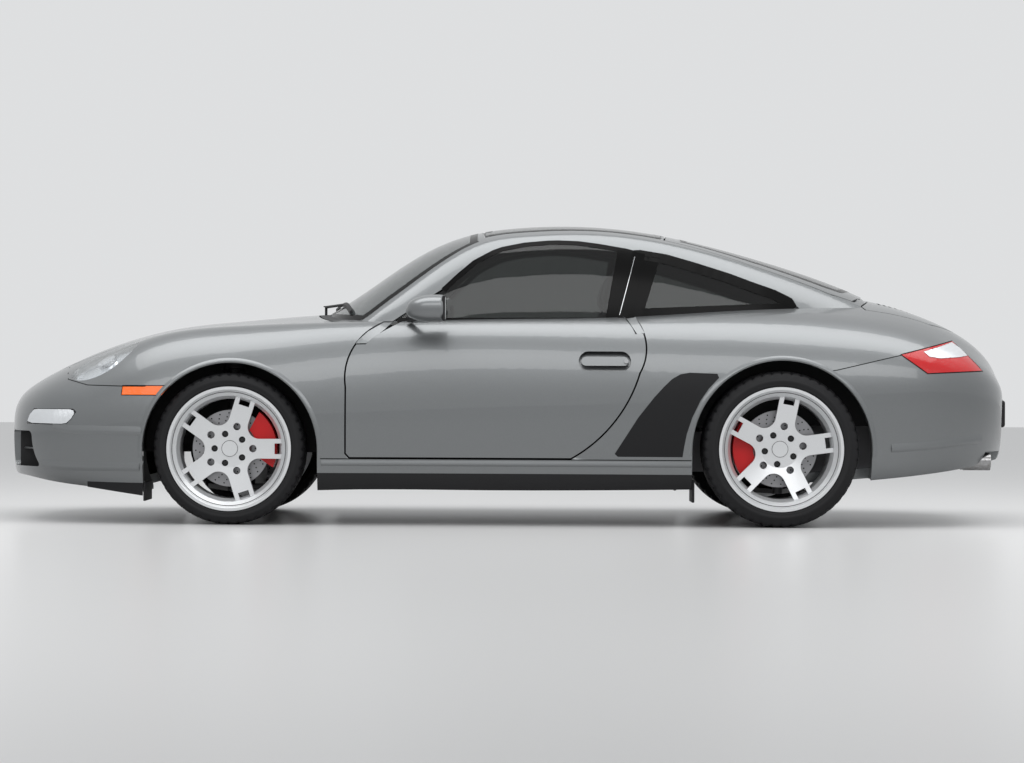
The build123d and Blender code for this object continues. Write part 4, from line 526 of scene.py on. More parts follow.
TYRE_TURNS = 240
NOTCH_EVERY = 5
NOTCH_DEPTH = 0.007
HUB_FACE = 0.062
BOLT_CIRCLE = 0.065
BOLT_SUNK = 0.0138
BOLT_HEIGHT = 0.009
DISC_FRONT = -0.006
HOLE_RADIUS = 0.0032
for name, hub, side, radius, width, rim_turn in WHEELS:
    centre = on(side, hub)
    body = f"{name}_wheel"
    profile = tyre_profile(radius, width)
    tyre = lathe(f"treaded_tyre_{name}", profile, centre, TYRE_TURNS, LOOKS["tyre_rubber"], body, side,
                 True)
    rows = len(profile)
    shoulder = [j for j, (r, y) in enumerate(profile) if r > radius * 0.962 and abs(y) > width * 0.33]
    for i in range(0, TYRE_TURNS, NOTCH_EVERY):
        for j in shoulder:
            vertex = tyre.data.vertices[i * rows + j]
            inward = centre - vertex.co
            inward.y = 0
            vertex.co += inward.normalized() * NOTCH_DEPTH
    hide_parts(f"tyre_{name}")

    # Wheel bolts, each over a black disc of painted shade at the bottom of its sunk hole; valve and cap ring
    for k in range(5):
        angle = math.radians(36 + 72 * k) - rim_turn
        spot = centre + about(BOLT_CIRCLE, angle, side * (HUB_FACE - BOLT_SUNK))
        tip = spot + Vector((0, side * BOLT_HEIGHT, 0))
        bar(f"bolt_hole_shade_{name}_{k}", spot, spot + Vector((0, side * 0.001, 0)), 0.0135, HOLE_SHADE, body, 24)
        bar(f"bolt_{name}_{k}", spot, tip, 0.0105, BOLT, body, 6)
    ring = [(0.0335, HUB_FACE + 0.0002), (0.0335, HUB_FACE + 0.0012), (0.0350, HUB_FACE + 0.0012)]
    lathe(f"cap_ring_{name}", ring, centre, 48, SEAM, body, side)
    # A thin grey ring of painted shade in the groove between the rim's outer lip and inner ring
    groove_y = width / 2 - 0.004
    groove = [(0.2405, groove_y - 0.0050), (0.2420, groove_y - 0.0042), (0.2440, groove_y - 0.0035)]
    lathe(f"rim_groove_shade_{name}", groove, centre, 96, GROOVE_SHADE_AND_SLAT_GREY, body, side)
    valve = centre + about(0.205, 0.7, side * 0.070)
    bar(f"valve_{name}", valve, valve + Vector((0, side * 0.022, 0)), 0.004, BLACK, body, 10)

    # Drilled brake discs: each hole is a black ten-sided disc of painted shade on both faces of the disc
    verts, faces = [], []
    for ring_index, ring_radius in enumerate((0.104, 0.120, 0.136, 0.152)):
        for k in range(24):
            angle = 2 * math.pi * (k + 0.25 * ring_index) / 24
            middle = centre + about(ring_radius, angle)
            for face_y in (DISC_FRONT + 0.0003, DISC_FRONT - 0.0323):
                start = len(verts)
                for m in range(10):
                    turn = 2 * math.pi * m / 10
                    verts.append(middle + about(HOLE_RADIUS, turn, side * face_y))
                faces.append(tuple(range(start, start + 10)))
    mesh_piece(f"disc_hole_shade_{name}", verts, faces, HOLE_SHADE, body, smooth=False)

# A tree over the lower skin
SKIN = tree_of(
    "front_bumper", "rear_bumper", "front_fenders", "rear_quarters", "rocker_panels", "side_skirts",
    "door_left", "door_right", "side_markers", "front_lamps", "tail_lamps",
)

# Stone guard film ahead of the rear wheels
GUARD = (
    (-0.453, 0.310), (-0.553, 0.467), (-0.620, 0.552), (-0.659, 0.595), (-0.695, 0.630), (-0.730, 0.650),
    (-0.770, 0.657), (-0.886, 0.653), (-0.893, 0.636), (-0.850, 0.590), (-0.815, 0.539), (-0.780, 0.465),
    (-0.758, 0.397), (-0.747, 0.340), (-0.741, 0.298), (-0.467, 0.298),
)
for side, word in SIDES:
    patch(f"guard_film_{word}", SKIN, GUARD, GUARD_FILM_AND_LIP_SHADE, side)

# Panel seams where panels meet without a gap
SEAM_WIDTH = 0.0035
FRONT_SEAM = ((1.545, 0.588), (1.647, 0.588), (1.806, 0.592), (1.904, 0.616), (1.925, 0.668))
REAR_SEAM = ((-1.335, 0.662), (-1.399, 0.672), (-1.540, 0.705), (-1.678, 0.7375))
ROCKER_SEAM = ((0.800, 0.2836), (-0.780, 0.2836))
side_lines("front_bumper_seam", SKIN, FRONT_SEAM, SEAM_WIDTH, SEAM)
side_lines("rear_bumper_seam", SKIN, REAR_SEAM, SEAM_WIDTH, SEAM)
side_lines("rocker_seam", SKIN, ROCKER_SEAM, SEAM_WIDTH, SEAM)

# Lamps in the skin: white inserts with flutes, dark edges
FRONT_LAMP = (
    (2.084, 0.434), (2.074, 0.462), (2.052, 0.484), (2.030, 0.487), (1.878, 0.487), (1.862, 0.482),
    (1.858, 0.470), (1.872, 0.447), (1.892, 0.429), (1.915, 0.425), (2.060, 0.427),
)
TAIL_INSERT = (
    (-1.775, 0.752), (-1.860, 0.776), (-1.922, 0.795), (-1.955, 0.772), (-1.985, 0.738), (-1.940, 0.730),
    (-1.850, 0.724), (-1.800, 0.730),
)
TAIL_EDGE = ((-1.671, 0.739), (-1.926, 0.802), (-2.051, 0.671), (-1.786, 0.658))
MARKER_EDGE = ((1.646, 0.5908), (1.439, 0.5908), (1.439, 0.550), (1.650, 0.550))
LAMP_TREE = tree_of(
    "front_lamps", "tail_lamps", "front_bumper", "rear_bumper", "rear_quarters", "side_markers",
    "front_fenders",
)
for side, word in SIDES:
    for end, outline in (("front", FRONT_LAMP), ("tail", TAIL_INSERT)):
        patch(f"{end}_lamp_insert_{word}", LAMP_TREE, outline, LENS_WHITE, side, lift=0.0014,
              step=0.012)
side_lines("front_lamp_edge", LAMP_TREE, FRONT_LAMP, 0.004, SEAM, lift=0.0012, closed=True)
side_lines("tail_lamp_edge", LAMP_TREE, TAIL_EDGE, 0.004, SEAM, lift=0.0012, closed=True)
side_lines("tail_insert_edge", LAMP_TREE, TAIL_INSERT, 0.003, DARK_RED, lift=0.0014, closed=True)
side_lines("marker_edge", LAMP_TREE, MARKER_EDGE, 0.003, SEAM, lift=0.0012, closed=True)

# Ledges moulded in the bumpers and the rocker, and the arches' rolled edges
ledge("front_bumper_ledge", SKIN, ((1.955, 0.405), (1.880, 0.394), (1.560, 0.389)), 0.030, 0.014, 0.005)
ledge("front_bumper_low_ledge", SKIN, ((2.010, 0.247), (1.900, 0.241), (1.570, 0.241)), 0.024, 0.018, 0.006)
ledge("rear_bumper_ledge", SKIN, ((-1.630, 0.334), (-1.800, 0.345), (-2.040, 0.372)), 0.026, 0.014, 0.006)
ledge("rocker_ledge", tree_of("rocker_panels"), ((0.795, 0.262), (-0.780, 0.262)), 0.016, 0.010, 0.005)
ARCHES = (
    # end, hub, radius, first and last angle
    ("front", FRONT_HUB, 0.372, -22, 196),
    ("rear", REAR_HUB, 0.383, -17, 196),
)
lip_tree = tree_of(
    "front_fenders", "front_bumper", "side_markers", "rear_quarters", "rear_bumper", "rocker_panels",
)
for side, word in SIDES:
    for end, hub, radius, start, stop in ARCHES:
        centre = hub - Vector((0.005, 0, 0.005))
        arch_lip(f"arch_lip_{end}_{word}", lip_tree, centre, radius, start, stop, side)

# Painted shade under the front bumper's lower edge, as a black sheet on the skin and a black curtain below
# it; black flaps ahead of the wheels
LOW_LIP_SHADE = (
    (1.800, 0.174), (1.700, 0.170), (1.562, 0.176), (1.562, 0.128), (1.700, 0.133), (1.790, 0.150),
)
LIP_SHADE_STATIONS = 25
for side, word in SIDES:
    patch(f"low_lip_{word}", SKIN, LOW_LIP_SHADE, GUARD_FILM_AND_LIP_SHADE, side)
    stations = []
    for k in range(LIP_SHADE_STATIONS):
        share = k / (LIP_SHADE_STATIONS - 1)
        x = 1.805 - 0.247 * share
        place, _ = from_side(SKIN, x, 0.182, side)
        if place is not None:
            out = abs(place.y) - 0.003
            low = 0.156 - 0.034 * share
            inner = out - 0.010
            rows = ((out, 0.180), (out, low), (out - 0.005, low - 0.001), (inner, low), (inner, 0.180))
            stations.append([Vector((x, side * y, z)) for y, z in rows])
    lip_shade_verts = [v for row in stations for v in row]
    lip_shade_faces = five_wide(lip_shade_verts, True)
    lip_shade_faces += [tuple(range(5)), tuple(range(len(lip_shade_verts) - 1, len(lip_shade_verts) - 6, -1))]
    mesh_piece(f"low_lip_edge_{word}", lip_shade_verts, lip_shade_faces, GUARD_FILM_AND_LIP_SHADE, smooth=False)
    rounded_block(f"front_flap_{word}", on(side, (1.552, 0.700, 0.138)), (0.010, 0.240, 0.080),
                  0.003, BLACK)
    rounded_block(f"rear_flap_{word}", on(side, (-0.790, 0.735, 0.150)), (0.012, 0.190, 0.095),
                  0.004, BLACK)

# Black window trim on the side glass
DOOR_GLASS = (
    (0.540, 0.875), (0.450, 0.925), (0.360, 0.970), (0.283, 1.009), (0.225, 1.064), (0.150, 1.130),
    (0.048, 1.186), (-0.070, 1.210), (-0.191, 1.221), (-0.300, 1.217), (-0.390, 1.205), (-0.460, 1.193),
    (-0.531, 1.181), (-0.500, 1.040), (-0.462, 0.880),
)
QUARTER_GLASS = (
    (-0.486, 0.905), (-0.520, 1.040), (-0.556, 1.170), (-0.680, 1.150), (-0.797, 1.117), (-0.950, 1.070),
    (-1.060, 1.030), (-1.150, 0.999), (-1.235, 0.958), (-1.200, 0.938), (-0.850, 0.922),
)
DOOR_PILLAR = ((-0.525, 1.180), (-0.462, 0.880), (-0.415, 0.880), (-0.470, 1.190))
QUARTER_PILLAR = ((-0.490, 0.905), (-0.556, 1.168), (-0.655, 1.155), (-0.580, 0.912))
for side, word in SIDES:
    door = f"{word}_door"
    door_tree = tree_of(f"door_window_{word}")
    patch(f"door_pillar_trim_{word}", door_tree, DOOR_PILLAR, TRIM, side, door)
    line = spaced([(x, z, 0) for x, z in DOOR_GLASS], 0.02, True)
    hits = [from_side(door_tree, p.x, p.y, side) for p in line]
    ribbon(f"door_glass_trim_{word}", hits, 0.024, 0.0006, TRIM, door)
quarter_tree = tree_of("quarter_windows")
for side, word in SIDES:
    patch(f"quarter_pillar_trim_{word}", quarter_tree, QUARTER_PILLAR, TRIM, side)
side_lines("quarter_glass_trim", quarter_tree, QUARTER_GLASS, 0.050, TRIM, closed=True, step=0.01)


# Panel corners that close the skin over the doors' ends
def filler(name, tree, outline, material, side, step=0.012, least=0.72, lift=-0.0004):
    """A skin over a gap in a side-view outline, carried across from the panels ahead of it and behind it."""
    edge = [Vector((p.x, p.y)) for p in spaced([(x, z, 0) for x, z in outline], step, True)]
    rim = [(k, (k + 1) % len(edge)) for k in range(len(edge))]
    flat, _, cells, _, _, _ = delaunay_2d_cdt(edge, rim, [list(range(len(edge)))], 2, 1e-6)
    verts = []
    for p in flat:
        found = []
        for way in (1, -1):
            for count in range(60):
                place, _ = from_side(tree, p.x + way * 0.003 * count, p.y, side)
                if place is not None and abs(place.y) > least:
                    found.append((0.003 * count + 0.0005, abs(place.y)))
                    break
        if not found:
            found = [(1.0, max(abs(v.y) for v in verts))]
        weight = sum(1 / d for d, _ in found)
        verts.append(Vector((p.x, side * (sum(y / d for d, y in found) / weight + lift), p.y)))
    return mesh_piece(name, verts, [tuple(c) for c in cells], material)


DOOR_CORNER = (
    (0.653, 0.775), (0.645, 0.788), (0.603, 0.827), (0.537, 0.867), (0.503, 0.867), (0.531, 0.8375),
    (0.608, 0.7765),
)
QUARTER_CORNER = ((-0.506, 0.889), (-0.545, 0.895), (-0.580, 0.826), (-0.549, 0.820))
PILLAR = ((-0.536, 1.182), (-0.590, 1.172), (-0.526, 0.906), (-0.466, 0.890))
PILLAR_LINE = ((-0.5435, 1.160), (-0.5457, 1.160), (-0.4782, 0.905), (-0.4760, 0.905))
for side, word in SIDES:
    filler(f"fender_corner_{word}", SKIN, DOOR_CORNER, PAINT, side)
    filler(f"quarter_corner_{word}", SKIN, QUARTER_CORNER, PAINT, side)
    panes = tree_of(f"door_window_{word}", "quarter_windows")
    filler(f"pillar_trim_{word}", panes, PILLAR, TRIM, side, 0.02, 0.55, 0.0022)
    filler(f"pillar_line_{word}", panes, PILLAR_LINE, BRIGHT, side, 0.02, 0.55, 0.0030)


# Padded leather seats
def smooth_block(half, power, bolster=0.0, size=14):
    """A rounded block of a mesh about its own middle, with raised flanks."""
    mesh = bmesh.new()
    bmesh.ops.create_cube(mesh, size=2.0)
    bmesh.ops.subdivide_edges(mesh, edges=mesh.edges[:], cuts=size, use_grid_fill=True)
    for vertex in mesh.verts:
        c = vertex.co
        reach = sum(abs(v) ** power for v in c) ** (1 / power)
        c = Vector(v / reach * h for v, h in zip(c, half))
        flank = max(0.0, abs(c.y) / half[1] - 0.50) / 0.50
        if c.z > 0:
            c.z += bolster * flank ** 1.5
        vertex.co = c
    data = bpy.data.meshes.new("form")
    mesh.to_mesh(data)
    mesh.free()
    return data


def applied(shown):
    """The mesh of an object with its modifiers applied."""
    graph = bpy.context.evaluated_depsgraph_get()
    return bpy.data.meshes.new_from_object(shown.evaluated_get(graph), depsgraph=graph)


def swollen(data, voxel, cap, pressure=4.0):
    """A form swelled by cloth pressure, with its movement capped, then subdivided once."""
    holder = in_scene("form", data)
    remesh = holder.modifiers.new("remesh", "REMESH")
    remesh.mode = "VOXEL"
    remesh.voxel_size = voxel
    base = applied(holder)
    holder.modifiers.clear()
    holder.data = base
    cloth = holder.modifiers.new("cloth", "CLOTH")
    cloth.settings.use_pressure = True
    cloth.settings.uniform_pressure_force = pressure
    cloth.settings.effector_weights.gravity = 0.0
    for step in range(1, 21):
        bpy.context.scene.frame_set(step)
    grown = applied(holder)
    for vertex, moved in zip(base.vertices, grown.vertices):
        shift = moved.co - vertex.co
        if shift.length > cap:
            shift = shift.normalized() * cap
        vertex.co += shift
    holder.modifiers.clear()
    bpy.context.scene.frame_set(1)
    smooth = holder.modifiers.new("smooth", "SUBSURF")
    smooth.levels = smooth.render_levels = 1
    final = applied(holder)
    bpy.data.objects.remove(holder)
    return final


def sewn(data, panel, rows, depth=0.007, width=0.007):
    """Channels pressed into the top of a cushion: two along its length, and rows across the panel between."""
    for vertex in data.vertices:
        c = vertex.co
        if c.z < 0.0:
            continue
        press = math.exp(-(((abs(c.y) - panel) / width) ** 2))
        if abs(c.y) < panel:
            press = max([press] + [math.exp(-(((c.x - row) / width) ** 2)) for row in rows])
        c.z -= depth * press


def place_pad(name, data, side, centre, lean, body="car_body"):
    """A cushion set on its side of the car, leaning about the cross axis."""
    copy = data.copy()
    placing = Matrix.Translation(on(side, centre)) @ Matrix.Rotation(lean, 4, "Y")
    copy.transform(Matrix.Diagonal((1, side, 1, 1)))
    copy.transform(placing)
    if side == -1:
        copy.flip_normals()
    copy.materials.clear()
    copy.materials.append(LEATHER)
    for polygon in copy.polygons:
        polygon.use_smooth = True
    piece = in_scene(name, copy)
    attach(piece, body)
    return piece


PIPE_POINTS = 72
PIPE_RADIUS = 0.0035


def piped(name, half, power, side, centre, lean):
    """A sewn piping round a cushion."""
    placing = Matrix.Translation(on(side, centre)) @ Matrix.Rotation(lean, 4, "Y")
    path = []
    for k in range(PIPE_POINTS):
        angle = 2 * math.pi * k / PIPE_POINTS
        c, s = math.cos(angle), math.sin(angle)
        reach = (abs(c) ** power + abs(s) ** power) ** (1 / power)
        path.append(placing @ Vector((half[0] * c / reach, half[1] * s / reach, 0.0)))
    verts, faces = [], []
    for k, point in enumerate(path):
        along = (path[(k + 1) % PIPE_POINTS] - path[k - 1]).normalized()
        up = placing.to_3x3() @ Vector((0, 0, 1))
        out = along.cross(up).normalized()
        for m in range(6):
            turn = 2 * math.pi * m / 6
            verts.append(point + (out * math.cos(turn) + up * math.sin(turn)) * PIPE_RADIUS)
    total = 6 * PIPE_POINTS
    for k in range(PIPE_POINTS):
        for m in range(6):
            a, b = 6 * k + m, 6 * k + (m + 1) % 6
            faces.append((a, b, (b + 6) % total, (a + 6) % total))
    return mesh_piece(name, verts, faces, LEATHER)


BACK_TILT = math.radians(20)
SEAT_LEAN, BACK_LEAN, HEAD_LEAN = math.radians(-6), math.radians(70), math.radians(74)
REAR_SEAT_LEAN, REAR_BACK_LEAN = math.radians(-7), math.radians(76)
SEAT_Y = 0.378
base_form = swollen(smooth_block((0.238, 0.222, 0.052), 4.5, 0.022), 0.011, 0.022)
sewn(base_form, 0.125, (-0.14, -0.07, 0.0, 0.07, 0.14))
back_form = swollen(smooth_block((0.275, 0.225, 0.045), 4.5, 0.024), 0.011, 0.020)
sewn(back_form, 0.120, (-0.18, -0.11, -0.04, 0.03, 0.10))
head_form = swollen(smooth_block((0.075, 0.115, 0.036), 3.5), 0.008, 0.014)
rear_base_form = swollen(smooth_block((0.135, 0.175, 0.048), 4.0, 0.010), 0.010, 0.016)
sewn(rear_base_form, 0.100, (-0.06, 0.0, 0.06))
rear_back_form = swollen(smooth_block((0.105, 0.175, 0.030), 4.0, 0.008), 0.010, 0.014)
sewn(rear_back_form, 0.100, (-0.04, 0.03))
back_axis = Vector((-math.sin(BACK_TILT), 0, math.cos(BACK_TILT)))
hinge = Vector((-0.265, SEAT_Y, 0.365))
seat_at, back_at = Vector((-0.035, SEAT_Y, 0.372)), hinge + back_axis * 0.325 + Vector((0.030, 0, 0))
head_at = hinge + back_axis * 0.690 + Vector((0.045, 0, 0.010))
rear_seat_at, rear_back_at = (-0.845, SEAT_Y, 0.500), (-0.960, SEAT_Y, 0.640)
for side, word in SIDES:
    seat = place_pad(f"seat_cushion_{word}", base_form, side, seat_at, SEAT_LEAN)
    place_pad(f"seat_back_{word}", back_form, side, back_at, BACK_LEAN)
    place_pad(f"head_restraint_{word}", head_form, side, head_at, HEAD_LEAN)
    piped(f"seat_piping_{word}", (0.243, 0.227), 4.5, side, seat_at, SEAT_LEAN)
    piped(f"back_piping_{word}", (0.280, 0.230), 4.5, side, back_at, BACK_LEAN)
    for offset in (-0.045, 0.045):
        low = hinge + back_axis * 0.56 + Vector((0.032, offset, 0))
        bar(f"head_post_{word}_{'in' if offset < 0 else 'out'}", on(side, low),
            on(side, low + back_axis * 0.10), 0.006, STEEL)
    rounded_block(f"seat_shell_{word}", on(side, back_at - Vector((0.052, 0, 0.020))),
                  (0.030, 0.430, 0.520), 0.014, CABIN, turn=(0, -BACK_TILT, 0))
    stand_at = on(side, (-0.060, SEAT_Y, 0.262))
    rounded_block(f"seat_stand_{word}", stand_at, (0.420, 0.380, 0.110), 0.020, CABIN)
    for rail in (-0.165, 0.165):
        rail_at = on(side, (-0.060, SEAT_Y + rail, 0.203))
        rounded_block(f"seat_rail_{word}_{'in' if rail < 0 else 'out'}", rail_at, (0.480, 0.040, 0.022),
                      0.004, STEEL)
    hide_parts("front_seats")
    rear = place_pad(f"rear_cushion_{word}", rear_base_form, side, rear_seat_at, REAR_SEAT_LEAN)
    place_pad(f"rear_back_{word}", rear_back_form, side, rear_back_at, REAR_BACK_LEAN)
    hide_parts("rear_seats")

# Cabin: instruments, centre console, levers, mirror, door cards
rounded_block("instrument_hood", (0.520, SEAT_Y, 0.838), (0.170, 0.360, 0.070), 0.026, CABIN,
              turn=(0, math.radians(6), 0))
DIALS = ((0.0, 0.052), (0.082, 0.042), (-0.082, 0.042), (0.142, 0.030), (-0.142, 0.030))  # place, radius
for k, (offset, size) in enumerate(DIALS):
    face = Vector((0.447 - 0.0005 * k, SEAT_Y + offset, 0.790))
    bar(f"dial_{k}", face, face - Vector((0.005, 0, 0)), size, DIAL, sides=32)
    bar(f"dial_ring_{k}", face + Vector((0.002, 0, 0)), face - Vector((0.003, 0, 0)), size + 0.003, BRIGHT,
        sides=32)
    tip = face + Vector((-0.0065, 0.6 * size, 0.5 * size))
    bar(f"dial_needle_{k}", face - Vector((0.0065, 0, 0)), tip, 0.0015, NEEDLE, sides=6)
rounded_block("centre_stack", (0.455, 0.0, 0.640), (0.090, 0.230, 0.300), 0.020, CABIN)
rounded_block("blank_screen", (0.4085, 0.0, 0.700), (0.006, 0.160, 0.085), 0.002, SCREEN)
for k in range(3):
    for m in range(6):
        rounded_block(f"stack_button_{k}_{m}", (0.4085, -0.075 + 0.030 * m, 0.630 - 0.030 * k),
                      (0.008, 0.022, 0.014), 0.003, BLACK)
for k, y in enumerate((-0.560, -0.075, 0.075, 0.560)):
    rounded_block(f"air_vent_{k}", (0.4495, y, 0.776), (0.012, 0.090, 0.050), 0.005, BLACK)
    for m in range(4):
        slat_at = (0.4425, y, 0.760 + 0.0105 * m)
        rounded_block(f"air_vent_slat_{k}_{m}", slat_at, (0.004, 0.080, 0.003), 0.001, GROOVE_SHADE_AND_SLAT_GREY)
rounded_block("centre_console", (0.020, 0.0, 0.395), (0.820, 0.170, 0.130), 0.024, CABIN)
rounded_block("armrest_lid", (-0.230, 0.0, 0.478), (0.300, 0.155, 0.050), 0.018, LEATHER)
bar("gear_stalk", (0.215, 0.0, 0.450), (0.195, 0.0, 0.545), 0.007, STEEL)
KNOB_PLACE = Vector((0.195, 0.0, 0.560))
KNOB_TURNS = 24
KNOB = ((0.0005, 0.034), (0.014, 0.031), (0.021, 0.020), (0.022, 0.008), (0.016, -0.012), (0.009, -0.024))
knob_verts, knob_faces = [], []
for i in range(KNOB_TURNS):
    angle = 2 * math.pi * i / KNOB_TURNS
    for radius, up in KNOB:
        knob_verts.append(KNOB_PLACE + Vector((radius * math.cos(angle), radius * math.sin(angle), up)))
for i in range(KNOB_TURNS):
    for j in range(len(KNOB) - 1):
        a, b = len(KNOB) * i + j, len(KNOB) * ((i + 1) % KNOB_TURNS) + j
        knob_faces.append((a, b, b + 1, a + 1))
mesh_piece("gear_knob", knob_verts, knob_faces, LEATHER)
rounded_block("hand_brake", (-0.010, -0.048, 0.490), (0.220, 0.028, 0.030), 0.011, LEATHER,
              turn=(0, math.radians(-14), 0))
rounded_block("rear_view_mirror", (0.205, 0.0, 1.165), (0.030, 0.225, 0.062), 0.014, BLACK)
rounded_block("rear_view_glass", (0.1885, 0.0, 1.165), (0.003, 0.205, 0.050), 0.001, SILVERED)
bar("rear_view_stalk", (0.215, 0.0, 1.170), (0.255, 0.0, 1.196), 0.007, BLACK)
for k, (x, y) in enumerate(((0.630, 0.360), (0.650, 0.280))):
    rounded_block(f"pedal_{k}", (x, y, 0.345), (0.012, 0.055, 0.075), 0.004, STEEL,
                  turn=(0, math.radians(25), 0))


def from_inside(tree, x, z, side=1):
    """The innermost point and normal of a tree at x and z, seen from the cabin."""
    place, normal, _, _ = tree.ray_cast(Vector((x, side * 0.25, z)), Vector((0, side, 0)))
    if place is not None and normal.y * side > 0:
        normal = -normal
    return place, normal


CARD_COLUMNS, CARD_ROWS = 44, 18
CARD_START, CARD_LENGTH = -0.500, 1.04
CARD_LOW, CARD_HEIGHT = 0.395, 0.41
CARD_PROUD = 0.003
CARD_REACH = 0.80
for side, word in SIDES:
    door = f"{word}_door"
    card_tree = tree_of(f"door_{word}")
    grid, card_verts, card_faces = {}, [], []
    for i in range(CARD_COLUMNS + 1):
        for j in range(CARD_ROWS + 1):
            x, z = CARD_START + CARD_LENGTH * i / CARD_COLUMNS, CARD_LOW + CARD_HEIGHT * j / CARD_ROWS
            place, normal = from_inside(card_tree, x, z, side)
            if place is not None and abs(place.y) < CARD_REACH:
                grid[i, j] = len(card_verts)
                card_verts.append(place + normal * CARD_PROUD)
    for i in range(CARD_COLUMNS):
        for j in range(CARD_ROWS):
            corners = [grid.get(c) for c in ((i, j), (i + 1, j), (i + 1, j + 1), (i, j + 1))]
            if all(c is not None for c in corners):
                card_faces.append(tuple(corners))
    mesh_piece(f"door_card_{word}", card_verts, card_faces, LEATHER, door)
    depth = abs(from_inside(card_tree, 0.05, 0.60, side)[0].y)
    rounded_block(f"door_armrest_{word}", (0.000, side * (depth - 0.028), 0.610), (0.480, 0.052, 0.060),
                  0.022, LEATHER, door)
    rounded_block(f"door_bin_{word}", (0.020, side * (depth - 0.022), 0.455), (0.560, 0.040, 0.070), 0.014,
                  CABIN, door)
    pull_y = side * (depth - 0.030)
    bar(f"door_pull_{word}", (0.210, pull_y, 0.690), (0.290, pull_y, 0.700), 0.008, BRIGHT, door)
    lathe(f"door_speaker_{word}", [(0.062, 0.0), (0.060, -0.004), (0.030, -0.006), (0.001, -0.006)],
          Vector((0.420, side * (depth - 0.001), 0.480)), 36, BLACK, door, side)

# Mirrors: an egg-shaped shell, foot and arm, black rear rim and glass; door locks
EGG_TURNS = 40
EGG_POWER = 2.6
EGG_HALF = (0.097, 0.0585)
EGG_START, EGG_LENGTH = 0.3200, 0.1165
EGG_DROP = 0.012
MIRROR_Y, MIRROR_Z = 0.905, 0.9245
stations = [(0.2765, 0.93), (0.2790, 0.985), (0.2900, 1.0), (EGG_START, 1.0)]
for k in range(1, 10):
    angle = k * math.pi / 20
    stations.append((EGG_START + EGG_LENGTH * math.sin(angle), math.cos(angle) ** 0.85))
stations.append((EGG_START + EGG_LENGTH, 0.02))
for side, word in SIDES:
    door = f"{word}_door"
    egg, egg_faces = [], []
    for x, share in stations:
        for k in range(EGG_TURNS):
            turn = 2 * math.pi * k / EGG_TURNS
            c, s = math.cos(turn), math.sin(turn)
            reach = (abs(c) ** EGG_POWER + abs(s) ** EGG_POWER) ** (1 / EGG_POWER)
            y = MIRROR_Y + EGG_HALF[0] * share * c / reach
            z = MIRROR_Z - EGG_DROP * (1 - share) + EGG_HALF[1] * share * s / reach
            egg.append(on(side, (x, y, z)))
    for j in range(len(stations) - 1):
        for k in range(EGG_TURNS):
            a, b = EGG_TURNS * j + k, EGG_TURNS * j + (k + 1) % EGG_TURNS
            egg_faces.append((a, b, b + EGG_TURNS, a + EGG_TURNS))
    egg_faces += [tuple(range(EGG_TURNS)), tuple(range(len(egg) - EGG_TURNS, len(egg)))]
    housing = mesh_piece(f"mirror_housing_{word}", egg, egg_faces, PAINT, door)
    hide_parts(f"mirror_{word}")
    bar(f"mirror_foot_{word}", on(side, (0.428, 0.740, 0.884)), on(side, (0.345, 0.862, 0.888)), 0.017,
        BLACK, door, 20, taper=0.7)
    bar(f"mirror_arm_{word}", on(side, (0.415, 0.748, 0.876)), on(side, (0.330, MIRROR_Y, 0.873)), 0.010,
        PAINT, door, 20, taper=0.8)
    rounded_block(f"mirror_rim_{word}", on(side, (0.2745, MIRROR_Y, MIRROR_Z)), (0.012, 0.182, 0.106), 0.005,
                  BLACK, door)
    rounded_block(f"mirror_glass_{word}", on(side, (0.2680, MIRROR_Y, MIRROR_Z)), (0.003, 0.160, 0.088),
                  0.001, SILVERED, door)
    bar(f"lock_{word}", on(side, (-0.500, 0.858, 0.704)), on(side, (-0.500, 0.8885, 0.704)), 0.009, BRIGHT,
        door, 24)


# Black borders on the windshield, roof and hatch glass
def border(name, node, width, body, inset=0.006, count=60):
    """A black printed band round a pane seen from above, along its edge."""
    tree = tree_of(node)
    (x0, _, _), (x1, y1, _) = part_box(node)
    hits = []
    for i in range(count + 1):
        x = x0 + inset + (x1 - x0 - 2 * inset) * i / count
        edge = None
        for k in range(200):
            y = y1 - 0.002 - k * 0.002
            if from_above(tree, x, y)[0] is not None:
                edge = y
                break
        if edge is not None:
            hits.append((x, edge - width / 2 - 0.001))
    for side, word in SIDES:
        line = [from_above(tree, x, side * y) for x, y in hits]
        ribbon(f"{name}_{word}", line, width, 0.0006, TRIM, body)
    for word, (x, y) in (("front", hits[-1]), ("rear", hits[0])):
        way = -1 if word == "front" else 1
        row = [from_above(tree, x + way * width / 2, y * (2 * k / 24 - 1)) for k in range(25)]
        ribbon(f"{name}_{word}", row, width, 0.0006, TRIM, body)


border("windshield_border", "windshield", 0.034, "car_body")
border("roof_border", "roof_panel", 0.030, "lift_off_roof")
border("hatch_border", "hatch_glass", 0.030, "rear_window")

# Dark wall and grey bar in the front openings, rear guards, brake light
for side, word in SIDES:
    rounded_block(f"intake_wall_{word}", on(side, (2.045, 0.445, 0.305)), (0.190, 0.006, 0.172), 0.002, BLACK)
    bar(f"intake_bar_{word}", on(side, (1.996, 0.668, 0.316)), on(side, (2.118, 0.455, 0.316)), 0.005, PAINT)


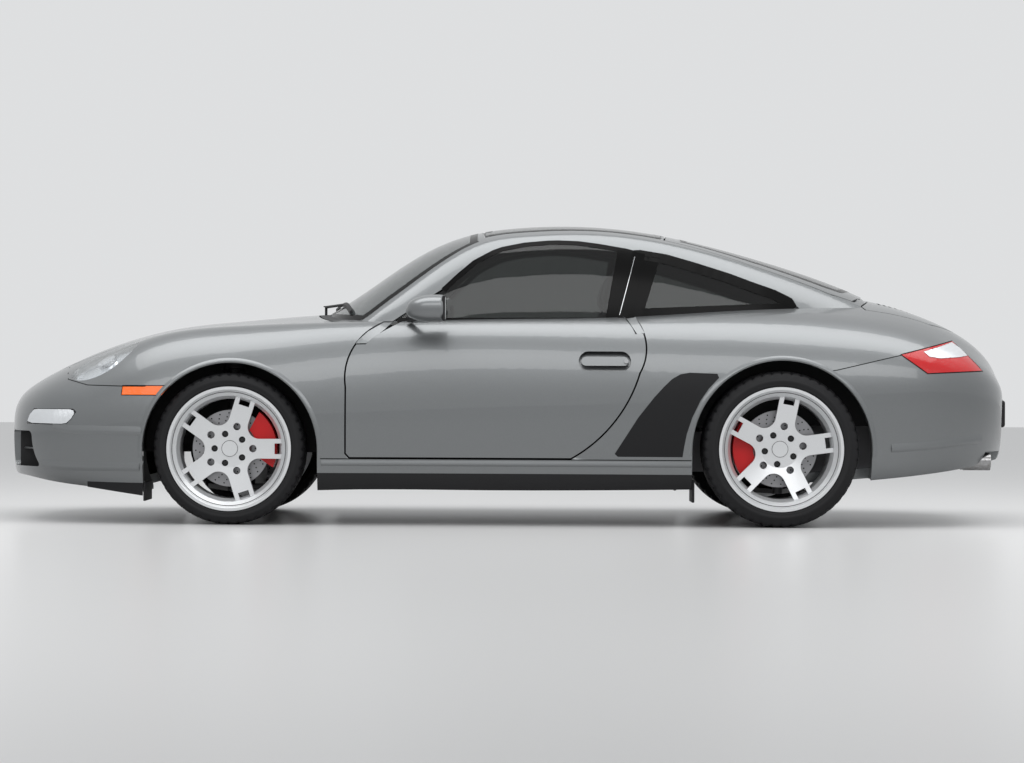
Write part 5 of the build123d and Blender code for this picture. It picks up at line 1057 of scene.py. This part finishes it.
def from_behind(tree, y, z):
    """The rearmost point and normal of a tree at y and z."""
    place, normal, _, _ = tree.ray_cast(Vector((-4, y, z)), Vector((1, 0, 0)))
    if place is not None and normal.x > 0:
        normal = -normal
    return place, normal


tail_tree = tree_of("rear_bumper", "engine_lid")
for side, word in SIDES:
    spot = from_behind(tail_tree, side * 0.36, 0.484)[0]
    rounded_block(f"rear_guard_{word}", spot + Vector((0.006, 0, 0)), (0.036, 0.050, 0.120), 0.015, BLACK)
top_line("brake_light", tree_of("engine_lid"), ((-1.960, -0.14), (-1.960, 0.14)), 0.016, DARK_RED,
         "engine_cover", lift=0.001)

# Floor, light and camera
floor = shader("pale floor", (0.52, 0.52, 0.52), 0, 0.30)
bpy.ops.mesh.primitive_plane_add(size=60, location=(0, 0, 0))
ground = bpy.context.object
ground.name = "floor"
ground.data.materials.append(floor)

world = bpy.data.worlds.new("soft white room")
bpy.context.scene.world = world
world.use_nodes = True
world.node_tree.nodes["Background"].inputs["Color"].default_value = (0.86, 0.87, 0.88, 1)
world.node_tree.nodes["Background"].inputs["Strength"].default_value = 0.85


def soft_light(name, place, target, wide, high, power):
    """A soft box."""
    data = bpy.data.lights.new(name, "AREA")
    data.shape = "RECTANGLE"
    data.size, data.size_y, data.energy = wide, high, power
    light = in_scene(name, data)
    light.location = place
    light.rotation_euler = (Vector(target) - Vector(place)).to_track_quat("-Z", "Y").to_euler()


soft_light("overhead", (-0.4, 0.8, 5.0), (-0.4, 0, 0.5), 10.0, 3.5, 330)
soft_light("near_side", (-0.5, 8.0, 5.0), (-0.5, 0, 0.5), 14.0, 3.0, 300)

scene = bpy.context.scene
camera_data = bpy.data.cameras.new("photo_camera")
camera_data.sensor_width = SENSOR_MM
camera_data.lens = FOCAL_PIXELS / PICTURE_WIDTH * SENSOR_MM
camera = in_scene("photo_camera", camera_data)
facing = Matrix.Rotation(math.pi, 4, "Z") @ Matrix.Rotation(math.pi / 2, 4, "X")
camera.matrix_world = Matrix.Translation(CAMERA_PLACE) @ facing @ Matrix.Rotation(CAMERA_ROLL, 4, "Z")
scene.camera = camera
scene.view_settings.view_transform = "Standard"
